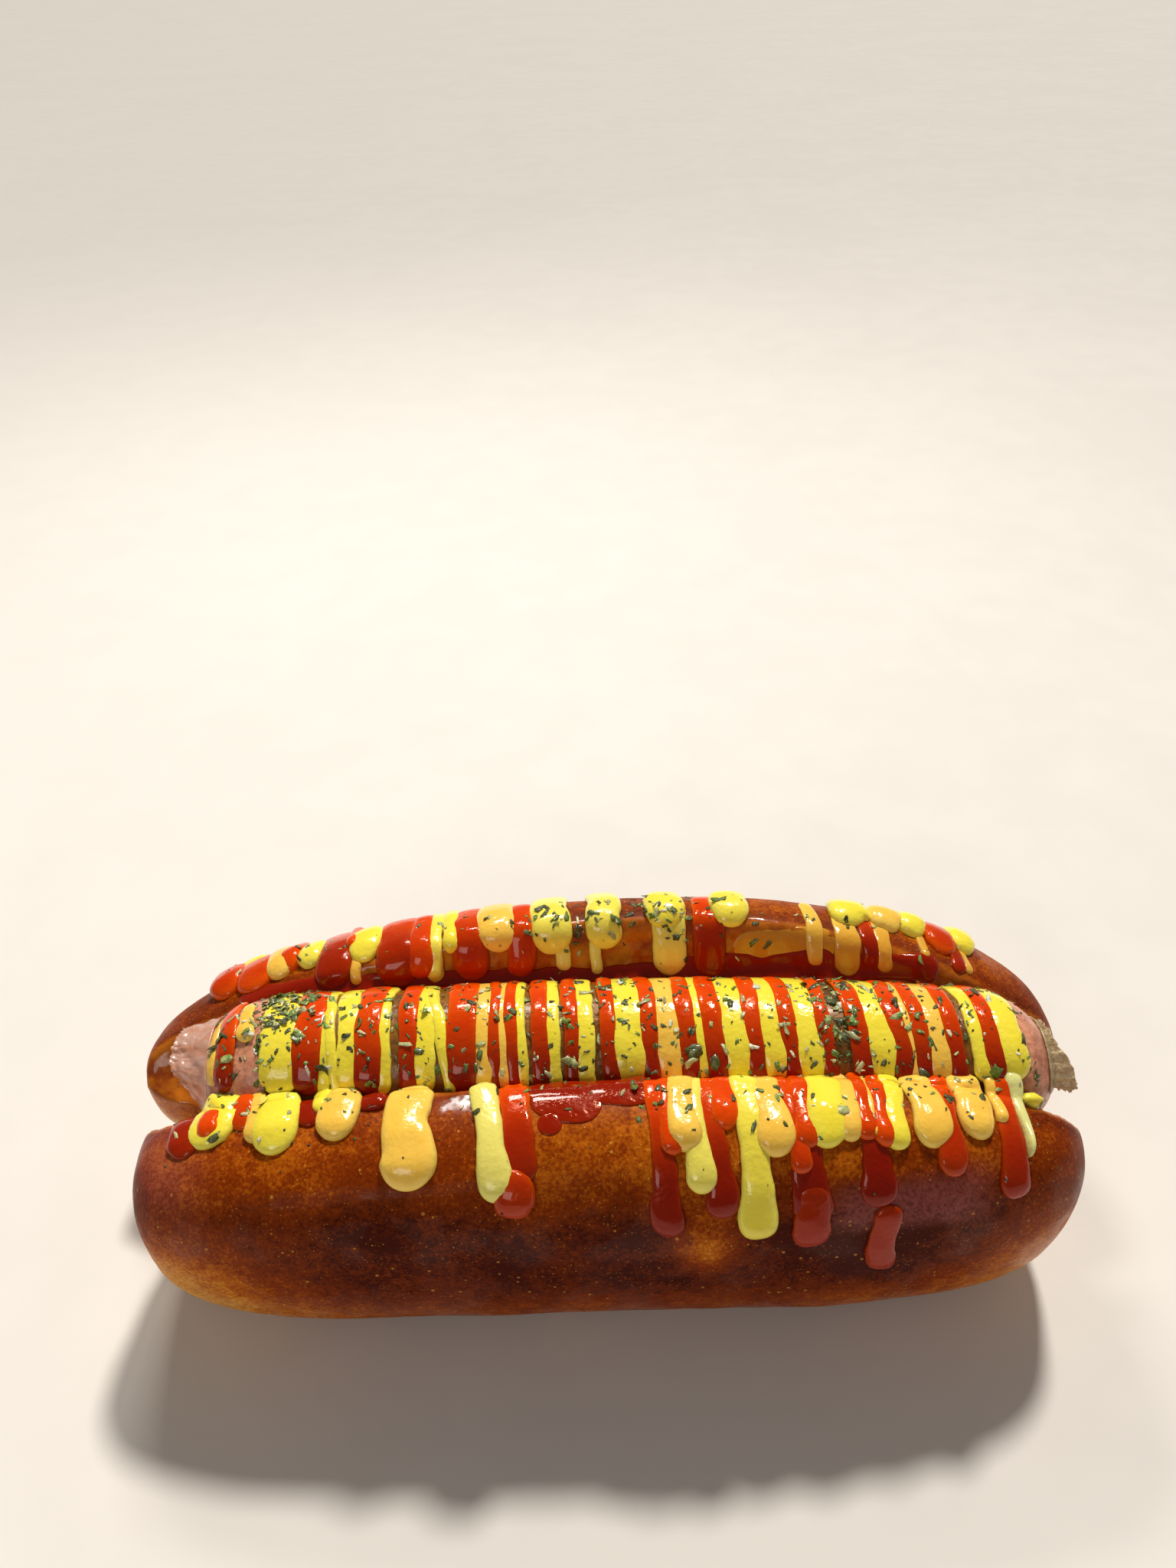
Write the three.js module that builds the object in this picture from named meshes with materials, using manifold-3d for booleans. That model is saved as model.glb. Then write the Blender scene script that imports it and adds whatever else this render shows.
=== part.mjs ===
// A hot dog: a soft bun split along its top, holding a sausage under stripes of sauce.
// Millimetres. +X runs along the bun, +Y towards its taller half, +Z up.
import * as THREE from 'three';
import { mergeVertices } from 'three/addons/utils/BufferGeometryUtils.js';
import Module from 'manifold-3d';

const wasm = await Module();
wasm.setup();

// Each half of the bun is a loaf that is widest at WAIST above the table.
// Towards an end its top sags, and then it rounds off: a high round is a blunt end.
const WAIST = 28;
const FLOOR_CUT = 1.5; // how much of each loaf the flat underside takes off
const frontHalf = {
  side: -1, crest: 10, top: 52.5, middle: 20, outward: 18, inward: 22, tip: 13,
  left: { x: -88.5, sag: 0.36, topRound: 7, endRound: 5, bottomRound: 7 },
  right: { x: 88.5, sag: 0.2, topRound: 4, endRound: 3.6, bottomRound: 4.2 },
};
const backHalf = {
  side: 1, crest: 10, top: 57.5, middle: 21, outward: 18, inward: 23, tip: 10,
  left: { x: -96.5, sag: 0.8, topRound: 5, endRound: 3, bottomRound: 3.4 },
  right: { x: 93.5, sag: 0.4, topRound: 2.7, endRound: 3, bottomRound: 3.4 },
};
const SECTION_ROUND = 2.3;
const INNER_ROUND = 3.4; // the sides that meet in the middle are fuller

// Under the sausage both halves are one loaf, with a flat base.
const base = { reach: 88.5, width: 31, height: 31, endRound: 3.2, sectionRound: 2.8 };

// The sausage lies in the cut, a little arched, its right end nearer the front.
const sausage = { left: -79, right: 86, radius: 13.2, cap: 13, height: 42.6, droop: 3.4, swing: 4 };
const GAP = 0.35;
const SAUCE = 1.6; // how thick the stripes of sauce lie

// The cut opens from the sausage to the two lips.
const lips = { front: -14.5, frontAt: 50.5, back: 20.5, backAt: 57 };

// The casing gathers into a pleated frill at each end of the sausage.
const rightFrill = { from: 79, to: 89.5, neck: 6, mouth: 7.4, pleats: 9, drop: 1.5 };
const leftFrill = { from: -75, to: -86, neck: 5, mouth: 4.8, pleats: 7, drop: 1 };

// Stripes of sauce across the sausage: the middle of each along X, and its width.
const stripes = [
  [-75.3, 3.1], [-71.3, 4], [-61.8, 6], [-55.8, 5.2], [-52.4, 1.8], [-48.6, 3.8], [-44.4, 4.8],
  [-36.8, 3.4], [-33.2, 3.2], [-26.8, 5.2], [-22.6, 2.6], [-19.2, 2.8], [-16.4, 2.4], [-12.4, 3],
  [-9.8, 2.2], [-6.6, 2.4], [-3.8, 3], [0.4, 2.8], [4.4, 4], [8, 3.2], [11.4, 3.6], [14.8, 3.2],
  [17.2, 2.2], [19.9, 3.6], [23.3, 4.4], [27.1, 3.4], [30.4, 3.8], [33.6, 3], [36.9, 3.8],
  [40.5, 2.8], [46.1, 3.4], [49.8, 4], [53.6, 3.2], [57, 3], [60.3, 3.4], [63.6, 3], [68, 2.8],
  [71, 3.2], [74.6, 4.2],
];

// Sauce that ran down: the middle of each run along X, its width and how low it ends.
const frontRuns = [
  [-75, 5.5, 43.5], [-70.5, 7.5, 45], [-60, 10, 46.5], [-48, 7.5, 49], [-35, 9.5, 43.2],
  [-21.6, 5.5, 42], [-17.4, 5.6, 42], [8, 7, 36], [12.8, 5, 48.5], [15.4, 4.6, 43.3],
  [18.2, 5.4, 39.6], [24, 7.4, 34], [28.2, 4.6, 47.5], [32.6, 7.6, 32.8], [37.4, 5.2, 48.4],
  [42.3, 4, 49.6], [45.8, 6.4, 25], [49.3, 3.8, 47.6], [55.5, 7, 47], [59.7, 4.4, 44],
  [64.4, 6.6, 46.6], [69.4, 6.6, 38.6], [73.2, 2.6, 43.8], [77, 3.4, 46],
];
const backRuns = [
  [-78.6, 5, 40], [-72.8, 7.4, 42.2], [-66, 6.2, 44.8], [-60.8, 5, 46.2], [-55.4, 6.4, 47],
  [-49, 6.4, 48.2], [-42.4, 6.8, 47.6], [-36.6, 4, 47], [-31.8, 3.4, 48.4], [-27.4, 5.4, 48.2],
  [-21.2, 7, 48.6], [-16.4, 4.8, 47.2], [-10.4, 7.4, 48.6], [0, 7, 48.2], [13, 9, 47.6],
  [21, 6, 47], [26, 7.4, 55], [42.9, 3.6, 47], [50.4, 8.4, 53.2], [57.8, 7, 51.2],
  [63.8, 5.4, 49.6], [69, 5, 45], [74, 6, 44],
];
const RUN_THICKNESS = 1.9;

const LOAF_STATIONS = 28;
const LOAF_SIDES = 22;
const SAUSAGE_STATIONS = 118;
const SAUSAGE_SIDES = 18;
const RUN_SHARES = [0, 0.05, 0.22, 0.45, 0.7, 0.88, 0.97, 1]; // where along a run its rings lie
const RUN_SIDES = 6;
const CUT_STATIONS = 13;
const CUT_STEPS = 8;

const signedPower = (value, power) => Math.sign(value) * Math.abs(value) ** power;

/** One closed body through rings of points, shut by a point at each end. */
function loft(rings, start, end) {
  const sides = rings[0].length;
  const positions = [start, ...rings.flat(), end].flatMap((p) => [p.x, p.y, p.z]);
  const last = rings.length * sides + 1;
  const at = (ring, side) => 1 + ring * sides + (side % sides);
  const index = [];
  for (let side = 0; side < sides; side += 1) {
    index.push(0, at(0, side + 1), at(0, side));
    index.push(last, at(rings.length - 1, side), at(rings.length - 1, side + 1));
    for (let ring = 0; ring < rings.length - 1; ring += 1) {
      index.push(at(ring, side), at(ring, side + 1), at(ring + 1, side + 1));
      index.push(at(ring, side), at(ring + 1, side + 1), at(ring + 1, side));
    }
  }
  const geometry = new THREE.BufferGeometry();
  geometry.setAttribute('position', new THREE.Float32BufferAttribute(positions, 3));
  geometry.setIndex(index);
  return geometry;
}

function solid(geometry) {
  const bare = geometry.clone();
  bare.deleteAttribute('normal');
  bare.deleteAttribute('uv');
  const merged = mergeVertices(bare, 1e-4);
  return new wasm.Manifold(new wasm.Mesh({
    numProp: 3,
    vertProperties: new Float32Array(merged.attributes.position.array),
    triVerts: new Uint32Array(merged.index.array),
  }));
}

function geometryOf(body) {
  const { vertProperties, triVerts } = body.getMesh();
  const geometry = new THREE.BufferGeometry();
  geometry.setAttribute('position', new THREE.BufferAttribute(vertProperties, 3));
  geometry.setIndex(new THREE.BufferAttribute(triVerts, 1));
  const faceted = geometry.toNonIndexed();
  faceted.computeVertexNormals();
  return faceted;
}

/** Stations from left to right, closer together towards both ends. */
function stations(left, right, count) {
  const middle = (left + right) / 2;
  const reach = (right - left) / 2;
  return Array.from({ length: count }, (_, i) => {
    const turn = (Math.PI * (i + 0.6)) / (count + 0.2);
    return middle - reach * Math.cos(turn) * (1 - 0.0005);
  });
}

/** How far a rounded end has closed in: 1 along the middle, 0 at the tip. */
function closing(share, round) {
  return (1 - Math.min(1, share) ** round) ** (1 / round);
}

/** A point of a half's crust at x, where turn is the angle round its section. */
function crustPoint(half, x, turn) {
  const end = x > half.crest ? half.right : half.left;
  const share = Math.abs((x - half.crest) / (end.x - half.crest));
  const high = (1 - end.sag * share ** 2) * closing(share, end.topRound);
  const wide = closing(share, end.endRound);
  const low = closing(share, end.bottomRound);
  const round = Math.cos(turn) < 0 && Math.sin(turn) < 0 ? INNER_ROUND : SECTION_ROUND;
  const across = signedPower(Math.cos(turn), 2 / round);
  const up = signedPower(Math.sin(turn), 2 / round);
  const width = across > 0 ? half.outward : half.inward;
  const height = up > 0 ? (half.top - WAIST) * high : (WAIST + FLOOR_CUT) * low;
  const middle = half.tip + (half.middle - half.tip) * wide;
  return new THREE.Vector3(x, half.side * (middle + width * wide * across), WAIST + height * up);
}

function loaf(half) {
  const turns = Array.from({ length: LOAF_SIDES }, (_, i) => (half.side * 2 * Math.PI * i) / LOAF_SIDES);
  const rings = stations(half.left.x, half.right.x, LOAF_STATIONS)
    .map((x) => turns.map((turn) => crustPoint(half, x, turn)));
  const tipAt = (end) => new THREE.Vector3(end.x, half.side * half.tip, WAIST);
  return loft(rings, tipAt(half.left), tipAt(half.right));
}

function baseLoaf() {
  const middle = (base.height - FLOOR_CUT) / 2;
  const reach = (base.height + FLOOR_CUT) / 2;
  const rings = stations(-base.reach, base.reach, 16).map((x) => {
    const scale = closing(Math.abs(x) / base.reach, base.endRound);
    return Array.from({ length: 16 }, (_, i) => {
      const turn = (2 * Math.PI * i) / 16;
      const across = signedPower(Math.cos(turn), 2 / base.sectionRound);
      const up = signedPower(Math.sin(turn), 2 / base.sectionRound);
      return new THREE.Vector3(x, base.width * scale * across, middle + reach * scale * up);
    });
  });
  return loft(rings, new THREE.Vector3(-base.reach, 0, middle), new THREE.Vector3(base.reach, 0, middle));
}

/** The sausage's middle line. */
function sausageMiddle(x) {
  const along = x / sausage.right;
  const swing = x > 0 ? sausage.swing * along ** 2 : 0;
  return new THREE.Vector3(x, -swing, sausage.height - sausage.droop * along ** 2);
}

function sausageRadius(x) {
  const past = Math.max(sausage.left + sausage.cap - x, x - (sausage.right - sausage.cap), 0);
  return sausage.radius * Math.sqrt(Math.max(0, 1 - (past / sausage.cap) ** 2));
}

/** How high the sauce stands on the sausage: nothing below, where the bun holds it. */
function sauceHeight(x, turn) {
  const shown = THREE.MathUtils.smoothstep(Math.sin(turn), 0.22, 0.5);
  const highest = Math.max(...stripes.map(([middle, width]) => {
    const across = Math.abs(x - middle) / (width * 0.62);
    return across < 1 ? Math.sqrt(1 - across ** 2) : 0;
  }));
  return SAUCE * shown * highest;
}

function sausageRing(x, sides, extra) {
  const middle = sausageMiddle(x);
  return Array.from({ length: sides }, (_, i) => {
    const turn = (2 * Math.PI * i) / sides;
    const radius = sausageRadius(x) + extra(turn);
    return new THREE.Vector3(x, middle.y + radius * Math.cos(turn), middle.z + radius * Math.sin(turn));
  });
}

/** The pleated end of the casing: it starts inside the sausage and flares to a ragged mouth. */
function frill({ from, to, neck, mouth, pleats, drop }) {
  const sides = pleats * 2;
  const waist = 0.45;
  const steps = 6;
  const start = sausageMiddle(from);
  const rings = Array.from({ length: steps + 1 }, (_, i) => {
    const along = i / steps;
    const x = from + (to - from) * along;
    const flare = Math.max(0, (along - waist) / (1 - waist));
    const radius = along < waist ? neck + 2 * (waist - along) : neck + (mouth - neck) * flare;
    return Array.from({ length: sides }, (_, k) => {
      const turn = (2 * Math.PI * k * Math.sign(to - from)) / sides;
      const pleat = 1 + (k % 2 ? 0.16 : -0.12) * flare;
      const ragged = (k % 3) * 0.5 * flare * Math.sign(to - from);
      return new THREE.Vector3(x - ragged,
        start.y + radius * pleat * Math.cos(turn),
        start.z - drop * along + radius * pleat * Math.sin(turn));
    });
  });
  const dish = (to - from) * 0.75;
  return loft(rings, start, new THREE.Vector3(from + dish, start.y, start.z - drop));
}

function sausageBody() {
  const xs = Array.from({ length: SAUSAGE_STATIONS }, (_, i) => {
    const share = (i + 0.35) / (SAUSAGE_STATIONS - 0.3);
    return sausage.left + (sausage.right - sausage.left) * share;
  });
  const rings = xs.map((x) => sausageRing(x, SAUSAGE_SIDES, (turn) => sauceHeight(x, turn)));
  const body = loft(rings, sausageMiddle(sausage.left), sausageMiddle(sausage.right));
  return solid(body).add(solid(frill(leftFrill))).add(solid(frill(rightFrill)));
}

/** The room that the sausage and its sauce need in the bun. */
function sausageRoom() {
  const rings = stations(sausage.left - 1, sausage.right + 1, CUT_STATIONS).map((x) => {
    const within = THREE.MathUtils.clamp(x, sausage.left + 0.5, sausage.right - 0.5);
    return sausageRing(within, SAUSAGE_SIDES, (turn) => GAP + SAUCE * THREE.MathUtils.smoothstep(Math.sin(turn), 0.1, 0.4))
      .map((point) => point.setX(x));
  });
  const tip = (x) => sausageMiddle(x);
  return loft(rings, tip(sausage.left - 1.2), tip(sausage.right + 1.2));
}

/** How far the cut's walls lean out for each millimetre that they rise. */
const wallRadius = sausage.radius + GAP;
const frontSlope = (lips.front + wallRadius) / (lips.frontAt - sausage.height);
const backSlope = (lips.back - wallRadius) / (lips.backAt - sausage.height);

/** The channel taken out of the bun: round under the sausage, then open to the lips. */
function cut() {
  const above = 40;
  const rings = stations(-110, 110, CUT_STATIONS).map((x) => {
    const middle = sausageMiddle(THREE.MathUtils.clamp(x, sausage.left, sausage.right));
    const ring = Array.from({ length: CUT_STEPS + 1 }, (_, i) => {
      const turn = Math.PI * (1 + i / CUT_STEPS);
      return new THREE.Vector3(
        x, middle.y + wallRadius * Math.cos(turn), middle.z + wallRadius * Math.sin(turn));
    });
    ring.push(new THREE.Vector3(x, middle.y + wallRadius + backSlope * above, middle.z + above));
    ring.push(new THREE.Vector3(x, middle.y - wallRadius + frontSlope * above, middle.z + above));
    return ring;
  });
  const shut = (x) => new THREE.Vector3(x, 0, sausage.height + 10);
  return loft(rings, shut(-111), shut(111));
}

/** The way that sauce runs down a half: over the crust in front, down the cut behind. */
function runPath(half, x, low) {
  const crest = 0.5;
  const [from, to] = half.side < 0 ? [0.64, -0.3] : [0.4, 0.52];
  const steps = 80;
  const points = [];
  for (let i = 0; i <= steps; i += 1) {
    const turn = from + ((to - from) * i) / steps;
    const point = crustPoint(half, x, turn * Math.PI);
    if (half.side < 0 && turn < crest && point.z < low) break;
    points.push(point);
  }
  if (half.side > 0) {
    const middle = sausageMiddle(x);
    for (let { z } = points.at(-1); z > low; z -= 0.5) {
      const y = middle.y + wallRadius + backSlope * (z - middle.z);
      points.push(new THREE.Vector3(x, Math.min(y, points.at(-1).y), z));
    }
  }
  const curve = new THREE.CatmullRomCurve3(points);
  return RUN_SHARES.map((share) => curve.getPointAt(share));
}

/** A flattened run of sauce along a path, half sunk in what it lies on, fuller at its lower end. */
function run(path, width) {
  const along = new THREE.Vector3(1, 0, 0);
  const rings = path.slice(1, -1).map((point, i) => {
    const share = RUN_SHARES[i + 1];
    const tangent = path[i + 2].clone().sub(path[i]).normalize();
    const normal = tangent.clone().cross(along);
    const fullness = Math.sqrt(1 - Math.abs(2 * share - 1) ** 6) * (0.85 + 0.15 * share);
    return Array.from({ length: RUN_SIDES }, (_, k) => {
      const turn = (2 * Math.PI * k) / RUN_SIDES;
      return point.clone()
        .addScaledVector(along, (width / 2) * fullness * Math.cos(turn))
        .addScaledVector(normal, RUN_THICKNESS * fullness * Math.sin(turn));
    });
  });
  return loft(rings, path[0], path.at(-1));
}

function bun() {
  const below = new THREE.BoxGeometry(240, 120, 20).translate(0, 0, -10);
  const runs = [
    ...frontRuns.map(([x, width, low]) => run(runPath(frontHalf, x, low), width)),
    ...backRuns.map(([x, width, low]) => run(runPath(backHalf, x, low), width)),
  ];
  let body = solid(loaf(frontHalf)).add(solid(loaf(backHalf))).add(solid(baseLoaf()));
  body = body.subtract(solid(cut()));
  body = runs.reduce((whole, piece) => whole.add(solid(piece)), body);
  body = body.subtract(solid(sausageRoom())).subtract(solid(below));
  return body.decompose().sort((a, b) => b.volume() - a.volume())[0];
}

const crust = new THREE.MeshStandardMaterial({ color: 0x9c5415, roughness: 0.4, metalness: 0 });
const skin = new THREE.MeshStandardMaterial({ color: 0xb07a63, roughness: 0.35, metalness: 0 });

function named(name, body, material) {
  const mesh = new THREE.Mesh(geometryOf(body), material);
  mesh.name = name;
  return mesh;
}

// The origin is under the middle of the whole hot dog.
const hotDog = new THREE.Group();
const food = new THREE.Group();
food.add(named('bun', bun(), crust));
food.add(named('sausage', sausageBody(), skin));
const reach = new THREE.Box3().setFromObject(food);
food.position.set(-(reach.min.x + reach.max.x) / 2, -(reach.min.y + reach.max.y) / 2, -reach.min.z);
hotDog.add(food);

export default hotDog;
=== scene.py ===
import math
import random
from typing import NamedTuple

import bmesh
import bpy
import numpy as np
from bpy.props import FloatProperty, FloatVectorProperty, IntProperty, PointerProperty
from mathutils import Matrix, Vector, noise
from mathutils.bvhtree import BVHTree


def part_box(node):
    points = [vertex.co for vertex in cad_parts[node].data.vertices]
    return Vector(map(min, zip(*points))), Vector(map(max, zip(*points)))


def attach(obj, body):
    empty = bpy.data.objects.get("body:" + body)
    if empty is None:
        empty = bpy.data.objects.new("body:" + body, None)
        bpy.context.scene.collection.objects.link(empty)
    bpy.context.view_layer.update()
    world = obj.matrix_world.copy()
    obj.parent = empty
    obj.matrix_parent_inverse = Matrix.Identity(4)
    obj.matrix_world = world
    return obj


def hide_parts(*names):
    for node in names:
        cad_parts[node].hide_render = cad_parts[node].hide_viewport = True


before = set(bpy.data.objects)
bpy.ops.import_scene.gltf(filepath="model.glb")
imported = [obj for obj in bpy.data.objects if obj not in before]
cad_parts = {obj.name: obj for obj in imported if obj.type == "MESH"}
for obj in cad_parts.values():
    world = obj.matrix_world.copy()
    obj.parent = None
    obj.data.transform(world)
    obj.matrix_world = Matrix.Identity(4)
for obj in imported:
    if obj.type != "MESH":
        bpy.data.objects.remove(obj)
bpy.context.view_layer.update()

bl_info = {
    "name": "Hot dog",
    "version": (1, 0, 0),
    "blender": (4, 5, 0),
    "location": "3D View > Sidebar > Hot dog",
    "description": "A glazed bun cut open round a sausage, striped with ketchup, mustard and cheese sauce",
    "category": "Add Mesh",
}

# Shapes are worked out in millimetres about the loaf's own middle line and moved to the frame in metres.
MM = 0.001
BODY = "root"


class End(NamedTuple):
    """How one end of a half of the bun closes."""

    x: float
    sag: float
    top_round: float
    end_round: float
    bottom_round: float


class Half(NamedTuple):
    """One half of the bun, on one side of the cut."""

    side: int
    crest: float
    top: float
    middle: float
    outward: float
    inward: float
    tip: float
    left: End
    right: End


FRONT_HALF = Half(
    -1, 10.0, 52.5, 20.0, 18.0, 22.0, 13.0, End(-88.5, 0.36, 7.0, 5.0, 7.0), End(88.5, 0.2, 4.0, 3.6, 4.2)
)
BACK_HALF = Half(
    1, 10.0, 57.5, 21.0, 18.0, 23.0, 10.0, End(-96.5, 0.8, 5.0, 3.0, 3.4), End(93.5, 0.4, 2.7, 3.0, 3.4)
)
# Each half is widest at WAIST, and the flat underside takes FLOOR_CUT off it. A high round is a blunt shape.
# The lower inner side of each half is fuller, with INNER_ROUND.
WAIST = 28.0
FLOOR_CUT = 1.5
SECTION_ROUND = 2.3
INNER_ROUND = 3.4

# The floor of bread under the sausage, which joins the halves.
BASE_REACH = 88.5
BASE_WIDTH = 31.0
BASE_HEIGHT = 31.0
BASE_END_ROUND = 3.2
BASE_SECTION_ROUND = 2.8

# The sausage lies in the cut. Its ends droop, and its right end swings towards the front.
SAUSAGE_LEFT = -79.0
SAUSAGE_RIGHT = 86.0
SAUSAGE_CAP = 13.0
SAUSAGE_HEIGHT = 42.6
SAUSAGE_DROOP = 3.4
SAUSAGE_SWING = 4.0
SAUSAGE_GAP = 0.35

# Each lip of the cut, by its place along Y and its height.
FRONT_LIP = (-14.5, 50.5)
BACK_LIP = (20.5, 57.0)

# How far the cut reaches along X each way, and how far it rises above the sausage's middle line.
CUT_REACH = 110.0
CUT_HEIGHT = 26.0

BUN_LOW, BUN_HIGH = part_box("bun")
SHIFT = Vector(
    (BUN_LOW.x / MM - BACK_HALF.left.x, BUN_HIGH.y / MM - BACK_HALF.middle - BACK_HALF.outward, 0.0)
)

KETCHUP = "ketchup"
MUSTARD = "mustard"
CHEESE = "cheese"
SAUCES = (KETCHUP, MUSTARD, CHEESE)
PARTS = ("stripes", "runs")

# Stripes over the sausage: the sauce, its place along X and its width.
STRIPES = (
    (CHEESE, -75.3, 3.1), (KETCHUP, -71.8, 4.0), (MUSTARD, -62.2, 5.8), (KETCHUP, -56.0, 5.4),
    (MUSTARD, -52.5, 1.8), (MUSTARD, -48.6, 3.8), (KETCHUP, -44.5, 4.9), (MUSTARD, -41.3, 1.7),
    (KETCHUP, -37.0, 3.3), (MUSTARD, -33.7, 3.6), (KETCHUP, -26.9, 5.6), (CHEESE, -23.1, 2.4),
    (KETCHUP, -20.9, 2.0), (CHEESE, -19.3, 1.5), (KETCHUP, -17.7, 2.2), (MUSTARD, -15.9, 1.6),
    (KETCHUP, -12.5, 3.0), (MUSTARD, -10.1, 2.1), (KETCHUP, -6.7, 2.5), (MUSTARD, -4.2, 2.9),
    (KETCHUP, 0.2, 2.8), (MUSTARD, 4.0, 4.6), (KETCHUP, 7.8, 3.2), (CHEESE, 11.2, 4.0),
    (KETCHUP, 14.7, 3.3), (MUSTARD, 16.9, 2.4), (KETCHUP, 19.6, 3.8), (MUSTARD, 23.2, 4.8),
    (KETCHUP, 27.1, 3.3), (MUSTARD, 30.2, 3.9), (KETCHUP, 33.4, 3.0), (MUSTARD, 36.8, 4.2),
    (KETCHUP, 40.3, 2.8), (KETCHUP, 46.1, 3.5), (MUSTARD, 49.8, 4.4), (KETCHUP, 53.6, 3.3),
    (CHEESE, 55.5, 1.2), (KETCHUP, 57.4, 3.0), (CHEESE, 60.3, 3.5), (KETCHUP, 63.5, 3.0),
    (MUSTARD, 68.0, 2.6), (KETCHUP, 70.6, 3.3), (MUSTARD, 74.2, 5.2),
)

# Runs over the front lip: the sauce, its places along X at the lip and at its end, the turn it ends at,
# its width, its share of the full thickness and how far it darkens or pales towards its end.
# Ketchup runs that darken towards their ends, low on the front, are partly a thin film over the crust and
# partly painted shade.
FRONT_RUNS = (
    (KETCHUP, -78.2, -76.6, 143.0, 6.0, 0.7, 0.8), (MUSTARD, -69.6, -73.2, 139.6, 8.6, 1.1, 0.0),
    (KETCHUP, -67.2, -66.3, 131.6, 4.4, 0.7, 0.3), (CHEESE, -65.2, -62.9, 135.2, 3.8, 0.9, 0.0),
    (MUSTARD, -60.6, -59.2, 141.6, 8.0, 1.2, 0.0), (MUSTARD, -53.0, -51.4, 127.0, 3.2, 0.8, 0.0),
    (CHEESE, -47.7, -49.0, 134.6, 6.8, 1.1, 0.0), (CHEESE, -36.2, -34.8, 151.6, 9.0, 1.2, 0.0),
    (MUSTARD, -22.9, -19.4, 154.1, 5.4, 1.1, 0.5), (KETCHUP, -17.6, -15.4, 147.0, 5.6, 0.4, 0.8),
    (KETCHUP, 8.4, 9.8, 162.5, 4.8, 0.55, 0.9), (KETCHUP, 10.3, 10.7, 141.8, 3.6, 0.8, 0.1),
    (MUSTARD, 14.6, 15.8, 152.3, 4.8, 0.9, 0.3), (CHEESE, 12.9, 12.9, 142.4, 5.4, 1.15, 0.0),
    (KETCHUP, 17.6, 19.0, 157.5, 4.8, 0.6, 0.9), (KETCHUP, 20.6, 19.8, 133.8, 4.4, 0.85, 0.0),
    (MUSTARD, 24.0, 25.2, 166.0, 6.0, 1.15, 0.1), (CHEESE, 27.6, 28.7, 144.8, 6.0, 1.05, 0.0),
    (KETCHUP, 33.0, 34.4, 160.0, 6.0, 0.45, 0.95), (KETCHUP, 30.9, 33.0, 148.0, 3.4, 0.8, 0.3),
    (KETCHUP, 34.6, 33.8, 141.0, 4.0, 0.85, 0.2), (MUSTARD, 38.4, 37.5, 142.6, 6.8, 1.1, 0.0),
    (CHEESE, 41.8, 42.2, 139.2, 4.4, 0.95, 0.0), (KETCHUP, 46.0, 46.2, 156.0, 5.2, 0.45, 0.95),
    (KETCHUP, 44.5, 44.8, 139.0, 3.0, 0.85, 0.2), (CHEESE, 46.5, 45.8, 137.8, 1.6, 0.8, 0.0),
    (KETCHUP, 48.2, 47.4, 142.2, 3.4, 0.9, 0.1), (MUSTARD, 51.4, 49.4, 143.6, 4.0, 0.95, 0.0),
    (CHEESE, 55.4, 57.2, 144.4, 6.4, 1.05, 0.0), (KETCHUP, 59.0, 59.6, 150.6, 4.8, 0.7, 0.6),
    (CHEESE, 64.6, 65.1, 142.8, 6.0, 1.05, 0.0), (CHEESE, 69.4, 69.7, 136.2, 2.0, 0.8, 0.0),
    (KETCHUP, 71.4, 70.7, 158.8, 5.4, 0.7, 0.8),
)

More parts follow.
